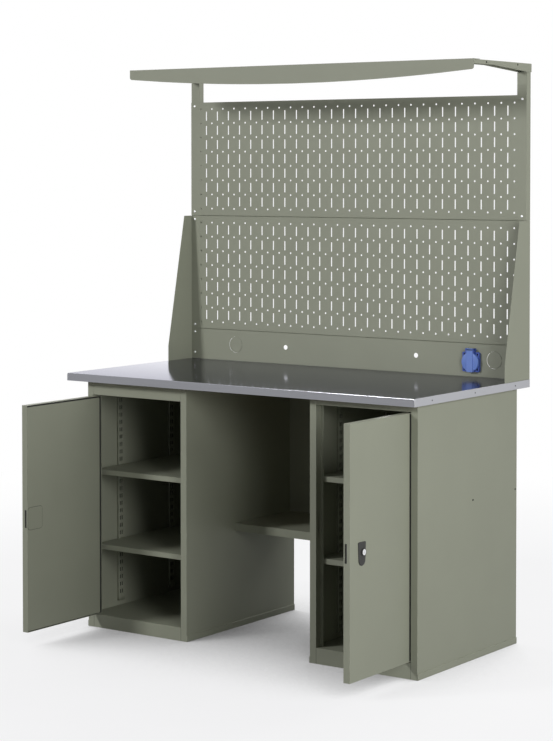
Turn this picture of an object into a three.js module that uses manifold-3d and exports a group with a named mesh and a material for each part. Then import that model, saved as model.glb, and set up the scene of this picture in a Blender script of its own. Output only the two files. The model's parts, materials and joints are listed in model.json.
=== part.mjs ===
// A workshop bench: a clad worktop on two cupboard pedestals, with a perforated screen and a canopy behind it.
// Millimetres. X runs along the bench, Y from front to back and Z up; y = 0 is the face of the panels
// while the pieces are made, and the finished bench is centred over its own footprint.
import * as THREE from "three";
import { mergeGeometries, mergeVertices } from "three/addons/utils/BufferGeometryUtils.js";
import Module from "manifold-3d";

const wasm = await Module();
wasm.setup();

// Sheet metal and fits
const SHEET = 1.2;
const SEAT = 0.3; // between pieces assembled face to face
const RUN = 0.4; // round pieces that turn or slide

// Worktop
const WORKTOP_LENGTH = 1400;
const WORKTOP_DEPTH = 720;
const WORKTOP_TOP = 870;
const WORKTOP_THICKNESS = 26;
const WORKTOP_NOSE_RADIUS = 6;
const END_STRIP_THICKNESS = 2;
const SCREEN_SETBACK = 29.4; // from the worktop's back edge to the face of the panels

// Pedestals
const PEDESTAL_FRONT_INSET = 36.6;
const PEDESTAL_DEPTH = 618;
const LEFT_END_INSET = 62.5;
const LEFT_WIDTH = 427;
const LEFT_RAIL_HEIGHT = 46;
const LEFT_PLINTH_HEIGHT = 45;
const RIGHT_END_INSET = 12;
const RIGHT_WIDTH = 401;
const RIGHT_RAIL_HEIGHT = 20;
const RIGHT_PLINTH_HEIGHT = 51;
const STILE_WIDTH = 24;
const STOP_WIDTH = 9;
const STOP_GAP = 1.5; // between a closed door and its stop
const REAR_FLANGE = 15;
const FOOT_FLANGE = 25;
const FLOOR_LAP = 5; // how far the narrow front of the floor runs under the wide part

// Shelf strips and shelves
const STRIP_WIDTH = 33;
const STRIP_DEPTH = 8;
const STRIP_SETBACK = 151; // from the pedestal's front or back to the nearest strip
const STRIP_END_GAP = 17;
const SHELF_LIP = 17;
const SHELF_CLEARANCE = 3; // to the door stop in front and the back sheet behind
const LEFT_SHELF_TOPS = { upper: 538.5, lower: 281 };
const RIGHT_SHELF_TOPS = { upper: 594, lower: 332 };
const HOOK_WIDTH = 4;
const HOOK_HEIGHT = 8;
const HOOK_DROP = 4; // from the shelf's top to the hook's top
const HOOK_REACH = 5;
const HOOK_LIFT = 3; // room above a hook in its slot

// Doors
const DOOR_THICKNESS = 22;
const DOOR_GAP = 3; // round the door, apart from its hinge edge
const DOOR_RECESS = 2; // behind the stiles' front
const DOOR_OPEN_ANGLE = 90; // degrees, as it stands
const LINER_SETBACK = 1.5;
const PIVOT_INSET = 6; // from the hinge edge and from the outer face
const SWING_CLEARANCE = 0.5; // left when the hinge corner passes the stile
const PIN_RADIUS = 3.5;
const PIN_COLLAR_RADIUS = 5.2;
const PIN_GRIP = 15; // inside the door
const PIN_REACH = 6; // into the rail or the floor

// Locks, measured from the door's free edge and its middle height
const LOCK_PLATE_WIDTH = 40;
const LOCK_PLATE_HEIGHT = 71;
const LOCK_PLATE_THICKNESS = 3;
const LOCK_PLATE_EDGE = 43;
const LOCK_PLATE_DROP = 7.5;
const LOCK_PLATE_CORNER = 6;
const CYLINDER_RADIUS = 9;
const CYLINDER_EDGE = 68;
const CYLINDER_DROP = 3;
const CYLINDER_PROUD = 4;
const KEYWAY_WIDTH = 2;
const KEYWAY_LENGTH = 9;
const KEYWAY_DEPTH = 2;
const CASE_LENGTH = 84;
const CASE_HEIGHT = 73;
const CASE_DEPTH = 10;
const BOLT_HEIGHT = 58;
const BOLT_THICKNESS = 4;
const BOLT_LENGTH = 60;
const BOLT_TRAVEL = 12;
const BOLT_RECESS = 1;
const BOLT_SLOT_MARGIN = 2;

// Kneehole
const KNEEHOLE_SETBACK = 271; // from the pedestals' front to the shelf's lip
const KNEEHOLE_SHELF_TOP = 358;
const KNEEHOLE_LIP = 27;
const KNEEHOLE_BACK_INSET = 27; // from the pedestals' back
const KNEEHOLE_BACK_FLANGE = 20;

// Rear screen
const SCREEN_DEPTH = 28; // from the face of the panels to the back of the posts
const POST_WIDTH = 36;
const POST_HEIGHT = 490;
const STAND_FOOT_REACH = 138; // in front of the panels
const STAND_HEAD_REACH = 43.5;
const STAND_STRAIGHT_HEIGHT = 54;
const JOINER_HEIGHT = 110;
const JOINER_THICKNESS = 3;
const BAND_HEIGHT = 109;
const PANEL_HEIGHT = 413;
const PANEL_GAP = 2;
const SLOT_WIDTH = 6;
const SLOT_HEIGHT = 33;
const SLOT_COLUMNS = 26;
const SLOT_ROWS = 7;
const SLOT_END_INSET = 70; // from the worktop's end to the middle of the first column
const SLOT_EDGE_INSET = 50.5; // from the panel's edge to the middle of the first row
const CABLE_HOLE_RADIUS = 8.5;
const CABLE_HOLE_END_INSET = 426; // from the worktop's end
const CABLE_HOLE_RISE = 60; // above the worktop
const KNOCKOUT_RADIUS = 29.5;
const KNOCKOUT_SLIT = 1.5;
const KNOCKOUT_BRIDGE = 12; // degrees between two slits
const KNOCKOUT_SLITS = 3;
const KNOCKOUT_RISE = 59;
const LEFT_KNOCKOUT_END_INSET = 204;
const RIGHT_KNOCKOUT_END_INSET = 118;

// Canopy
const ARM_ROOT_HEIGHT = 28;
const ARM_TIP_HEIGHT = 14;
const ARM_TAPER_REACH = 220; // in front of the panels, where the taper ends
const ARM_REAR = 34;
const CANOPY_REACH = 348; // from the panels to the fascia's front
const FASCIA_OVERHANG = 3; // past each end of the worktop
const FASCIA_END_HEIGHT = 34;
const FASCIA_MIDDLE_HEIGHT = 63;
const FASCIA_FLANGE = 40;
const FASCIA_CORNER = 10;

// Socket
const SOCKET_END_INSET = 204; // from the worktop's end to the socket's middle
const SOCKET_RISE = 50; // above the worktop
const SOCKET_PLATE = 66;
const SOCKET_PLATE_THICKNESS = 8;
const SOCKET_PLATE_CORNER = 5;
const SOCKET_BARREL_RADIUS = 27;
const SOCKET_BARREL_DEPTH = 30;
const SOCKET_BORE_RADIUS = 22;
const SOCKET_BOTTOM = 4;
const SOCKET_HOLE_MARGIN = 1.5;
const INSERT_THICKNESS = 12;
const CONTACT_RADIUS = 2.5;
const CONTACT_SPACING = 19;
const LID_RADIUS = 32;
const LID_THICKNESS = 10;
const LID_BAR_WIDTH = 23;
const LID_TAB_DROP = 34; // from the socket's middle to the lid's lower edge
const LID_PIN_RADIUS = 2;
const LID_PIN_RISE = 8; // above the socket's plate
const LID_HEAD = 4.6; // of the bar above the pin
const EAR_THICKNESS = 4;
const EAR_OVERLAP = 2;

const ROUND_SIDES = 32;
const PIN_SIDES = 12;
const CURVE_STEPS = 6;
const CUT_PAST = 1; // how far a cutting tool runs past the face it opens

// Planes that several pieces share
const END_X = WORKTOP_LENGTH / 2;
const SOCKET_X = END_X - SOCKET_END_INSET;
const CABLE_HOLE_X = END_X - CABLE_HOLE_END_INSET;
const LEFT_KNOCKOUT_X = -END_X + LEFT_KNOCKOUT_END_INSET;
const RIGHT_KNOCKOUT_X = END_X - RIGHT_KNOCKOUT_END_INSET;
const COLUMN_PITCH = (WORKTOP_LENGTH - 2 * SLOT_END_INSET) / (SLOT_COLUMNS - 1);
const ROW_PITCH = (PANEL_HEIGHT - 2 * SLOT_EDGE_INSET) / (SLOT_ROWS - 1);
const WORKTOP_BACK = SCREEN_SETBACK;
const WORKTOP_FRONT = WORKTOP_BACK - WORKTOP_DEPTH;
const PEDESTAL_TOP = WORKTOP_TOP - WORKTOP_THICKNESS;
const PEDESTAL_FRONT = WORKTOP_FRONT + PEDESTAL_FRONT_INSET;
const PEDESTAL_BACK = PEDESTAL_FRONT + PEDESTAL_DEPTH;
const SIDE_TOP = PEDESTAL_TOP - SHEET - SEAT;
const REVEAL_DEPTH = DOOR_RECESS + DOOR_THICKNESS + STOP_GAP;
const STOP_BACK = PEDESTAL_FRONT + REVEAL_DEPTH + SHEET;
const BACK_SHEET_FACE = PEDESTAL_BACK - SHEET - SEAT - SHEET;
const HINGE_GAP = PIVOT_INSET * (Math.SQRT2 - 1) + SWING_CLEARANCE;
const POST_FRONT = SHEET + SEAT;
const BAND_BOTTOM = WORKTOP_TOP + PANEL_GAP;
const LOWER_PANEL_BOTTOM = BAND_BOTTOM + BAND_HEIGHT + PANEL_GAP;
const STAND_TOP = LOWER_PANEL_BOTTOM + PANEL_HEIGHT;
const UPPER_PANEL_BOTTOM = STAND_TOP + PANEL_GAP;
const POST_BOTTOM = STAND_TOP + SEAT;
const ARM_BOTTOM = POST_BOTTOM + POST_HEIGHT + SEAT;
const ARM_TOP = ARM_BOTTOM + ARM_ROOT_HEIGHT;
const FASCIA_TOP = ARM_TOP + SEAT + SHEET;

// Lock places across the door's thickness, measured from its outer face
const LINER_FACE = DOOR_THICKNESS - LINER_SETBACK - SHEET;
const CASE_BACK = LINER_FACE - SEAT;
const CASE_FRONT = CASE_BACK - CASE_DEPTH;
const BOLT_MIDDLE = CASE_BACK - CASE_DEPTH / 2;

const LEFT = {
  name: "left",
  x0: -END_X + LEFT_END_INSET,
  x1: -END_X + LEFT_END_INSET + LEFT_WIDTH,
  hinge: -1,
  openingBottom: LEFT_PLINTH_HEIGHT,
  openingTop: PEDESTAL_TOP - LEFT_RAIL_HEIGHT,
  shelfTops: LEFT_SHELF_TOPS,
};
const RIGHT = {
  name: "right",
  x0: END_X - RIGHT_END_INSET - RIGHT_WIDTH,
  x1: END_X - RIGHT_END_INSET,
  hinge: 1,
  openingBottom: RIGHT_PLINTH_HEIGHT,
  openingTop: PEDESTAL_TOP - RIGHT_RAIL_HEIGHT,
  shelfTops: RIGHT_SHELF_TOPS,
};

// Finishes
const paint = () => new THREE.MeshStandardMaterial({ color: 0x8d9084, roughness: 0.55, metalness: 0.1 });
const polishedSteel = () => new THREE.MeshStandardMaterial({ color: 0x6a6a6e, roughness: 0.2, metalness: 1 });
const edgeSteel = () => new THREE.MeshStandardMaterial({ color: 0xb5b6bc, roughness: 0.4, metalness: 0.8 });
const board = () => new THREE.MeshStandardMaterial({ color: 0xa98b62, roughness: 0.9, metalness: 0 });
const zinc = () => new THREE.MeshStandardMaterial({ color: 0xc4c6c8, roughness: 0.35, metalness: 1 });
const blackPlastic = () => new THREE.MeshStandardMaterial({ color: 0x2b2b29, roughness: 0.5, metalness: 0 });
const bluePlastic = () => new THREE.MeshStandardMaterial({ color: 0x4f66a4, roughness: 0.45, metalness: 0 });

const MERGE_DISTANCE = 1e-4; // between corners that are one point

// Booleans on closed geometries
function toSolid(geometry) {
  const bare = geometry.clone();
  bare.deleteAttribute("normal");
  bare.deleteAttribute("uv");
  const merged = mergeVertices(bare, MERGE_DISTANCE);
  const mesh = new wasm.Mesh({
    numProp: 3,
    vertProperties: new Float32Array(merged.attributes.position.array),
    triVerts: new Uint32Array(merged.index.array),
  });
  return new wasm.Manifold(mesh);
}

function toGeometry(solid) {
  const mesh = solid.getMesh();
  const geometry = new THREE.BufferGeometry();
  geometry.setAttribute("position", new THREE.BufferAttribute(mesh.vertProperties, 3));
  geometry.setIndex(new THREE.BufferAttribute(mesh.triVerts, 1));
  geometry.computeVertexNormals();
  return geometry;
}

function join(...geometries) {
  return toGeometry(geometries.map(toSolid).reduce((whole, next) => whole.add(next)));
}

function cut(geometry, ...tools) {
  return toGeometry(tools.map(toSolid).reduce((rest, tool) => rest.subtract(tool), toSolid(geometry)));
}

// Closed shapes
function box(x0, x1, y0, y1, z0, z1) {
  const geometry = new THREE.BoxGeometry(Math.abs(x1 - x0), Math.abs(y1 - y0), Math.abs(z1 - z0));
  return geometry.translate((x0 + x1) / 2, (y0 + y1) / 2, (z0 + z1) / 2);
}

const ALONG_X = new THREE.Matrix4().makeBasis(
  new THREE.Vector3(0, 1, 0),
  new THREE.Vector3(0, 0, 1),
  new THREE.Vector3(1, 0, 0),
);
const ALONG_Y = new THREE.Matrix4().makeBasis(
  new THREE.Vector3(1, 0, 0),
  new THREE.Vector3(0, 0, 1),
  new THREE.Vector3(0, -1, 0),
);

function extrude(shape, depth) {
  return new THREE.ExtrudeGeometry(shape, { depth, bevelEnabled: false, curveSegments: CURVE_STEPS });
}

// A plan outline (x, y) carried upwards
function extrudeUp(shape, z0, z1) {
  return extrude(shape, z1 - z0).translate(0, 0, z0);
}

// A side outline (y, z) carried along the bench
function extrudeAlongX(shape, x0, x1) {
  return extrude(shape, x1 - x0).applyMatrix4(ALONG_X).translate(x0, 0, 0);
}

// A front outline (x, z) carried from front to back
function extrudeAlongY(shape, y0, y1) {
  return extrude(shape, y1 - y0).applyMatrix4(ALONG_Y).translate(0, y1, 0);
}

function polygon(points) {
  return new THREE.Shape(points.map(([a, b]) => new THREE.Vector2(a, b)));
}

// The outline of a folded sheet: its outer face as a path, with the metal on the path's left
function foldedSheet(points, thickness) {
  const outer = points.map(([a, b]) => new THREE.Vector2(a, b));
  const leftOf = (from, to) => {
    const along = to.clone().sub(from).normalize();
    return new THREE.Vector2(-along.y, along.x);
  };
  const inner = outer.map((point, i) => {
    const before = leftOf(outer[Math.max(i - 1, 0)], outer[Math.max(i, 1)]);
    const last = outer.length - 1;
    const after = leftOf(outer[Math.min(i, last - 1)], outer[Math.min(i + 1, last)]);
    const mitre = before.clone().add(after).divideScalar(1 + before.dot(after));
    return point.clone().addScaledVector(mitre, thickness);
  });
  return new THREE.Shape([...outer, ...inner.reverse()]);
}

function roundedRectangle(x0, x1, z0, z1, radius) {
  const shape = new THREE.Shape();
  shape.absarc(x1 - radius, z0 + radius, radius, -Math.PI / 2, 0);
  shape.absarc(x1 - radius, z1 - radius, radius, 0, Math.PI / 2);
  shape.absarc(x0 + radius, z1 - radius, radius, Math.PI / 2, Math.PI);
  shape.absarc(x0 + radius, z0 + radius, radius, Math.PI, Math.PI * 1.5);
  return shape;
}

function rodAlongX(x0, x1, y, z, radius, sides) {
  const rod = new THREE.CylinderGeometry(radius, radius, x1 - x0, sides);
  return rod.rotateZ(Math.PI / 2).translate((x0 + x1) / 2, y, z);
}

function rodAlongY(x, y0, y1, z, radius, sides) {
  const rod = new THREE.CylinderGeometry(radius, radius, y1 - y0, sides);
  return rod.translate(x, (y0 + y1) / 2, z);
}

function rodAlongZ(x, y, z0, z1, radius, sides) {
  const rod = new THREE.CylinderGeometry(radius, radius, z1 - z0, sides);
  return rod.rotateX(Math.PI / 2).translate(x, y, (z0 + z1) / 2);
}

const bench = new THREE.Group();

function addPart(group, name, geometry, material) {
  const mesh = new THREE.Mesh(geometry, material);
  mesh.name = name;
  group.add(mesh);
}

// Worktop: a board in a steel sheet that turns down at the front and back, with a strip on each end
function addWorktop() {
  const sheetEnd = END_X - END_STRIP_THICKNESS - SEAT;
  const bottom = PEDESTAL_TOP + SEAT;
  const inset = SHEET + SEAT;
  const nose = Array.from({ length: CURVE_STEPS + 1 }, (_, i) => {
    const angle = Math.PI - (i / CURVE_STEPS) * (Math.PI / 2);
    const y = WORKTOP_FRONT + WORKTOP_NOSE_RADIUS * (1 + Math.cos(angle));
    const z = WORKTOP_TOP - WORKTOP_NOSE_RADIUS * (1 - Math.sin(angle));
    return [y, z];
  });
  const outerFace = [
    [WORKTOP_FRONT, bottom],
    ...nose,
    [WORKTOP_BACK, WORKTOP_TOP],
    [WORKTOP_BACK, bottom],
  ];
  const sheet = extrudeAlongX(foldedSheet(outerFace, -SHEET), -sheetEnd, sheetEnd);
  addPart(bench, "worktop_sheet", sheet, polishedSteel());
  const chamfer = WORKTOP_NOSE_RADIUS;
  const coreOutline = polygon([
    [WORKTOP_FRONT + inset, bottom],
    [WORKTOP_BACK - inset, bottom],
    [WORKTOP_BACK - inset, WORKTOP_TOP - inset],
    [WORKTOP_FRONT + inset + chamfer, WORKTOP_TOP - inset],
    [WORKTOP_FRONT + inset, WORKTOP_TOP - inset - chamfer],
  ]);
  addPart(bench, "worktop_core", extrudeAlongX(coreOutline, -sheetEnd, sheetEnd), board());
  for (const [name, side] of [["left", -1], ["right", 1]]) {
    const outline = polygon([...nose, [WORKTOP_BACK, WORKTOP_TOP], [WORKTOP_BACK, bottom], [WORKTOP_FRONT, bottom]]);
    const inner = side < 0 ? -END_X : END_X - END_STRIP_THICKNESS;
    const strip = extrudeAlongX(outline, inner, inner + END_STRIP_THICKNESS);
    addPart(bench, `worktop_${name}_end_strip`, strip, edgeSteel());
  }
}

// Where a pedestal's door, lock and hinge lie
function doorPlan(pedestal) {
  const hingeReveal = pedestal.hinge < 0 ? pedestal.x0 + STILE_WIDTH : pedestal.x1 - STILE_WIDTH;
  const openingWidth = pedestal.x1 - pedestal.x0 - 2 * STILE_WIDTH;
  const bottom = pedestal.openingBottom + DOOR_GAP;
  const top = pedestal.openingTop - DOOR_GAP;
  return {
    towardsFreeEdge: -pedestal.hinge,
    width: openingWidth - HINGE_GAP - DOOR_GAP,
    bottom,
    top,
    lockHeight: (bottom + top) / 2,
    pivotX: hingeReveal - pedestal.hinge * (HINGE_GAP + PIVOT_INSET),
    pivotY: PEDESTAL_FRONT + DOOR_RECESS + PIVOT_INSET,
  };
}

// One side sheet, folded round the front into the stile, the reveal and the door stop
function sideSheet(x, inward, strike) {
  const stile = x + inward * STILE_WIDTH;
  const reveal = PEDESTAL_FRONT + REVEAL_DEPTH;
  const outerFace = [
    [x + inward * REAR_FLANGE, PEDESTAL_BACK],
    [x, PEDESTAL_BACK],
    [x, PEDESTAL_FRONT],
    [stile, PEDESTAL_FRONT],
    [stile, reveal],
    [stile + inward * STOP_WIDTH, reveal],
  ];
  const sheet = extrudeUp(foldedSheet(outerFace, inward * SHEET), 0, SIDE_TOP);
  if (!strike) return sheet;
  const middle = PEDESTAL_FRONT + DOOR_RECESS + BOLT_MIDDLE;
  const halfThick = BOLT_THICKNESS / 2 + BOLT_SLOT_MARGIN;
  const halfHigh = BOLT_HEIGHT / 2 + BOLT_SLOT_MARGIN;
  const past = SHEET + CUT_PAST;
  const strikeSlot = box(
    stile - past,
    stile + past,
    middle - halfThick,
    middle + halfThick,
    strike - halfHigh,
    strike + halfHigh,
  );
  return cut(sheet, strikeSlot);
}

// The two strips on one side sheet stand at these places from front to back
const STRIPS = {
  front: PEDESTAL_FRONT + STRIP_SETBACK,
  rear: PEDESTAL_BACK - STRIP_SETBACK - STRIP_WIDTH,
};

function hookRange(shelfTop) {
  const top = shelfTop - HOOK_DROP;
  return { bottom: top - HOOK_HEIGHT, top };
}

// An upright channel with a slot for the hook of each shelf
function shelfStrip(pedestal, wall, inward, y0) {
  const face = wall + inward * STRIP_DEPTH;
  const y1 = y0 + STRIP_WIDTH;
  const outerFace = [[wall, y1], [face, y1], [face, y0], [wall, y0]];
  const bottom = pedestal.openingBottom + STRIP_END_GAP;
  const channel = extrudeUp(
    foldedSheet(outerFace, -inward * SHEET),
    bottom,
    pedestal.openingTop - STRIP_END_GAP,
  );
  const middle = (y0 + y1) / 2;
  const halfWide = HOOK_WIDTH / 2 + RUN;
  const slots = Object.values(pedestal.shelfTops).map((shelfTop) => {
    const hook = hookRange(shelfTop);
    const past = SHEET + CUT_PAST;
    return box(
      face - past,
      face + past,
      middle - halfWide,
      middle + halfWide,
      hook.bottom - SEAT,
      hook.top + HOOK_LIFT,
    );
  });
  return cut(channel, ...slots);
}

// A tray folded down on all four sides, with a hook at each strip
function shelfTray(x0, x1, shelfTop) {
  const front = STOP_BACK + SHELF_CLEARANCE;
  const back = BACK_SHEET_FACE - SHELF_CLEARANCE;
  const bottom = shelfTop - SHELF_LIP;
  const under = shelfTop - SHEET;
  const blank = box(x0, x1, front, back, bottom, shelfTop);
  const hollow = box(x0 + SHEET, x1 - SHEET, front + SHEET, back - SHEET, bottom - CUT_PAST, under);
  const hook = hookRange(shelfTop);
  const hooks = Object.values(STRIPS).flatMap((y0) => {
    const middle = y0 + STRIP_WIDTH / 2;
    const from = middle - HOOK_WIDTH / 2;
    const to = middle + HOOK_WIDTH / 2;
    return [
      box(x0 - HOOK_REACH, x0 + SHEET, from, to, hook.bottom, hook.top),
      box(x1 - SHEET, x1 + HOOK_REACH, from, to, hook.bottom, hook.top),
    ];
  });
  return join(cut(blank, hollow), ...hooks);
}

// Floor, plinth and foot flange folded from one sheet, with the hole of the lower pivot pin
function floorPan(pedestal, door) {
  const bottom = pedestal.openingBottom - SHEET;
  const top = pedestal.openingBottom;
  const reveal = STILE_WIDTH + SEAT;
  const stop = STILE_WIDTH + STOP_WIDTH + SEAT;
  const wall = SHEET + SEAT;
  const { x0, x1 } = pedestal;
  const pan = join(
    box(x0 + reveal, x1 - reveal, PEDESTAL_FRONT, PEDESTAL_FRONT + REVEAL_DEPTH - SEAT, bottom, top),
    box(x0 + stop, x1 - stop, PEDESTAL_FRONT, STOP_BACK + SEAT + FLOOR_LAP, bottom, top),
    box(x0 + wall, x1 - wall, STOP_BACK + SEAT, BACK_SHEET_FACE - SEAT, bottom, top),
    box(x0 + reveal, x1 - reveal, PEDESTAL_FRONT, PEDESTAL_FRONT + SHEET, 0, top),
    box(x0 + reveal, x1 - reveal, PEDESTAL_FRONT, PEDESTAL_FRONT + FOOT_FLANGE, 0, SHEET),
  );
  return cut(pan, pinHole(door, bottom, top));
}

// Top plate with the front rail and the lintel over the door
function topPan(pedestal, door) {
  const reveal = STILE_WIDTH + SEAT;
  const { x0, x1, openingTop } = pedestal;
  const under = PEDESTAL_TOP - SHEET;
  const pan = join(
    box(x0, x1, PEDESTAL_FRONT, PEDESTAL_BACK, under, PEDESTAL_TOP),
    box(x0 + reveal, x1 - reveal, PEDESTAL_FRONT, PEDESTAL_FRONT + SHEET, openingTop, PEDESTAL_TOP),
    box(
      x0 + reveal,
      x1 - reveal,
      PEDESTAL_FRONT,
      PEDESTAL_FRONT + REVEAL_DEPTH - SEAT,
      openingTop,
      openingTop + SHEET,
    ),
  );
  return cut(pan, pinHole(door, openingTop, openingTop + SHEET));
}

function pinHole(door, bottom, top) {
  const radius = PIN_RADIUS + RUN;
  return rodAlongZ(door.pivotX, door.pivotY, bottom - CUT_PAST, top + CUT_PAST, radius, PIN_SIDES);
}

function addPedestal(pedestal) {
  const door = doorPlan(pedestal);
  const { name, x0, x1 } = pedestal;
  const outerIsLow = pedestal.hinge < 0;
  const sides = {
    outer: outerIsLow ? [x0, 1] : [x1, -1],
    inner: outerIsLow ? [x1, -1] : [x0, 1],
  };
  for (const [side, [x, inward]] of Object.entries(sides)) {
    const strike = side === "inner" ? door.lockHeight : null;
    addPart(bench, `${name}_${side}_side`, sideSheet(x, inward, strike), paint());
    const wall = x + inward * (SHEET + SEAT);
    for (const [place, y0] of Object.entries(STRIPS)) {
      addPart(bench, `${name}_${side}_${place}_strip`, shelfStrip(pedestal, wall, inward, y0), paint());
    }
  }
  const wall = SHEET + SEAT;
  const backSheet = box(x0 + wall, x1 - wall, BACK_SHEET_FACE, BACK_SHEET_FACE + SHEET, 0, SIDE_TOP);
  addPart(bench, `${name}_back`, backSheet, paint());
  addPart(bench, `${name}_floor_pan`, floorPan(pedestal, door), paint());
  addPart(bench, `${name}_top_pan`, topPan(pedestal, door), paint());
  const trayInset = SHEET + SEAT + STRIP_DEPTH + SEAT;
  for (const [place, shelfTop] of Object.entries(pedestal.shelfTops)) {
    const tray = shelfTray(x0 + trayInset, x1 - trayInset, shelfTop);
    addPart(bench, `${name}_${place}_shelf`, tray, paint());
  }
  addDoor(pedestal, door);
}

// A turned pin with a collar that keeps the door off the rail or the floor
function pivotPin(inside, doorEdge, openingEdge, outside) {
  const gap = Math.sign(openingEdge - doorEdge) * SEAT;
  const profile = [
    [0, inside],
    [PIN_RADIUS, inside],
    [PIN_RADIUS, doorEdge + gap],
    [PIN_COLLAR_RADIUS, doorEdge + gap],
    [PIN_COLLAR_RADIUS, openingEdge - gap],
    [PIN_RADIUS, openingEdge - gap],
    [PIN_RADIUS, outside],
    [0, outside],
  ];
  const upwards = outside > inside ? profile : profile.reverse();
  const points = upwards.map(([radius, z]) => new THREE.Vector2(radius, z));
  return new THREE.LatheGeometry(points, PIN_SIDES).rotateX(Math.PI / 2);
}

// A box door on two pivot pins, made shut round its hinge line and then swung open
function addDoor(pedestal, door) {
  const { name } = pedestal;
  const { width, bottom, top, lockHeight } = door;
  const group = new THREE.Group();
  group.position.set(door.pivotX, door.pivotY, 0);
  group.rotation.z = -door.towardsFreeEdge * THREE.MathUtils.degToRad(DOOR_OPEN_ANGLE);
  bench.add(group);

  // x at a distance from the hinge edge, and y at a depth behind the outer face
  const across = (distance) => door.towardsFreeEdge * (distance - PIVOT_INSET);
  const behind = (depth) => depth - PIVOT_INSET;
  const doorBox = (u0, u1, depth0, depth1, z0, z1) =>
    box(across(u0), across(u1), behind(depth0), behind(depth1), z0, z1);

  const cylinderX = across(width - CYLINDER_EDGE);
  const cylinderZ = lockHeight - CYLINDER_DROP;
  const halfBolt = BOLT_HEIGHT / 2;
  const boltFrom = BOLT_MIDDLE - BOLT_THICKNESS / 2;
  const boltTo = BOLT_MIDDLE + BOLT_THICKNESS / 2;

  const skin = cut(
    doorBox(0, width, 0, DOOR_THICKNESS, bottom, top),
    doorBox(SHEET, width - SHEET, SHEET, DOOR_THICKNESS + CUT_PAST, bottom + SHEET, top - SHEET),
    rodAlongY(cylinderX, behind(-CUT_PAST), behind(SHEET + CUT_PAST), cylinderZ, CYLINDER_RADIUS + RUN, ROUND_SIDES),
    doorBox(
      width - SHEET - CUT_PAST,
      width + CUT_PAST,
      boltFrom - RUN,
      boltTo + RUN,
      lockHeight - halfBolt - RUN,
      lockHeight + halfBolt + RUN,
    ),
    rodAlongZ(0, 0, bottom - CUT_PAST, bottom + SHEET + CUT_PAST, PIN_RADIUS + SEAT, PIN_SIDES),
    rodAlongZ(0, 0, top - SHEET - CUT_PAST, top + CUT_PAST, PIN_RADIUS + SEAT, PIN_SIDES),
  );
  addPart(group, `${name}_door_skin`, skin, paint());

  const rim = SHEET + SEAT;
  const liner = doorBox(rim, width - rim, LINER_FACE, LINER_FACE + SHEET, bottom + rim, top - rim);
  addPart(group, `${name}_door_liner`, liner, paint());

  const upperPin = pivotPin(top - PIN_GRIP, top, pedestal.openingTop, pedestal.openingTop + PIN_REACH);
  const lowerPin = pivotPin(bottom + PIN_GRIP, bottom, pedestal.openingBottom, pedestal.openingBottom - PIN_REACH);
  addPart(group, `${name}_door_upper_pin`, upperPin, zinc());
  addPart(group, `${name}_door_lower_pin`, lowerPin, zinc());

  addPart(group, `${name}_lock_plate`, lockPlate(door, across, behind), blackPlastic());
  addPart(group, `${name}_lock_cylinder`, lockCylinder(cylinderX, cylinderZ, behind), zinc());

  const caseEnd = width - SHEET - SEAT;
  const lockCase = cut(
    doorBox(
      caseEnd - CASE_LENGTH,
      caseEnd,
      CASE_FRONT,
      CASE_BACK,
      lockHeight - CASE_HEIGHT / 2,
      lockHeight + CASE_HEIGHT / 2,
    ),
    doorBox(
      width - BOLT_RECESS - BOLT_LENGTH - BOLT_TRAVEL,
      width + CUT_PAST,
      boltFrom - RUN,
      boltTo + RUN,
      lockHeight - halfBolt - RUN,
      lockHeight + halfBolt + RUN,
    ),
  );
  addPart(group, `${name}_lock_case`, lockCase, zinc());

  const bolt = doorBox(
    width - BOLT_RECESS - BOLT_LENGTH,
    width - BOLT_RECESS,
    boltFrom,
    boltTo,
    lockHeight - halfBolt,
    lockHeight + halfBolt,
  );
  addPart(group, `${name}_lock_bolt`, bolt, zinc());
}

// The escutcheon: square shoulders above, a round end below
function lockPlate(door, across, behind) {
  const end0 = across(door.width - LOCK_PLATE_EDGE);
  const end1 = across(door.width - LOCK_PLATE_EDGE - LOCK_PLATE_WIDTH);
  const x0 = Math.min(end0, end1);
  const x1 = Math.max(end0, end1);
  const middleZ = door.lockHeight - LOCK_PLATE_DROP;
  const z0 = middleZ - LOCK_PLATE_HEIGHT / 2;
  const z1 = middleZ + LOCK_PLATE_HEIGHT / 2;
  const round = LOCK_PLATE_WIDTH / 2;
  const shape = new THREE.Shape();
  shape.absarc(x0 + round, z0 + round, round, Math.PI, 2 * Math.PI);
  shape.absarc(x1 - LOCK_PLATE_CORNER, z1 - LOCK_PLATE_CORNER, LOCK_PLATE_CORNER, 0, Math.PI / 2);
  shape.absarc(x0 + LOCK_PLATE_CORNER, z1 - LOCK_PLATE_CORNER, LOCK_PLATE_CORNER, Math.PI / 2, Math.PI);
  const plate = extrudeAlongY(shape, behind(-SEAT - LOCK_PLATE_THICKNESS), behind(-SEAT));
  const hole = rodAlongY(
    across(door.width - CYLINDER_EDGE),
    behind(-SEAT - LOCK_PLATE_THICKNESS - CUT_PAST),
    behind(-SEAT + CUT_PAST),
    door.lockHeight - CYLINDER_DROP,
    CYLINDER_RADIUS + RUN,
    ROUND_SIDES,
  );
  return cut(plate, hole);
}

function lockCylinder(x, z, behind) {
  const face = behind(-SEAT - LOCK_PLATE_THICKNESS - CYLINDER_PROUD);
  const cylinder = rodAlongY(x, face, behind(CASE_FRONT - SEAT), z, CYLINDER_RADIUS, ROUND_SIDES);
  const halfWide = KEYWAY_WIDTH / 2;
  const halfLong = KEYWAY_LENGTH / 2;
  const keyway = box(
    x - halfWide,
    x + halfWide,
    face - CUT_PAST,
    face + KEYWAY_DEPTH,
    z - halfLong,
    z + halfLong,
  );
  return cut(cylinder, keyway);
}

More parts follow.
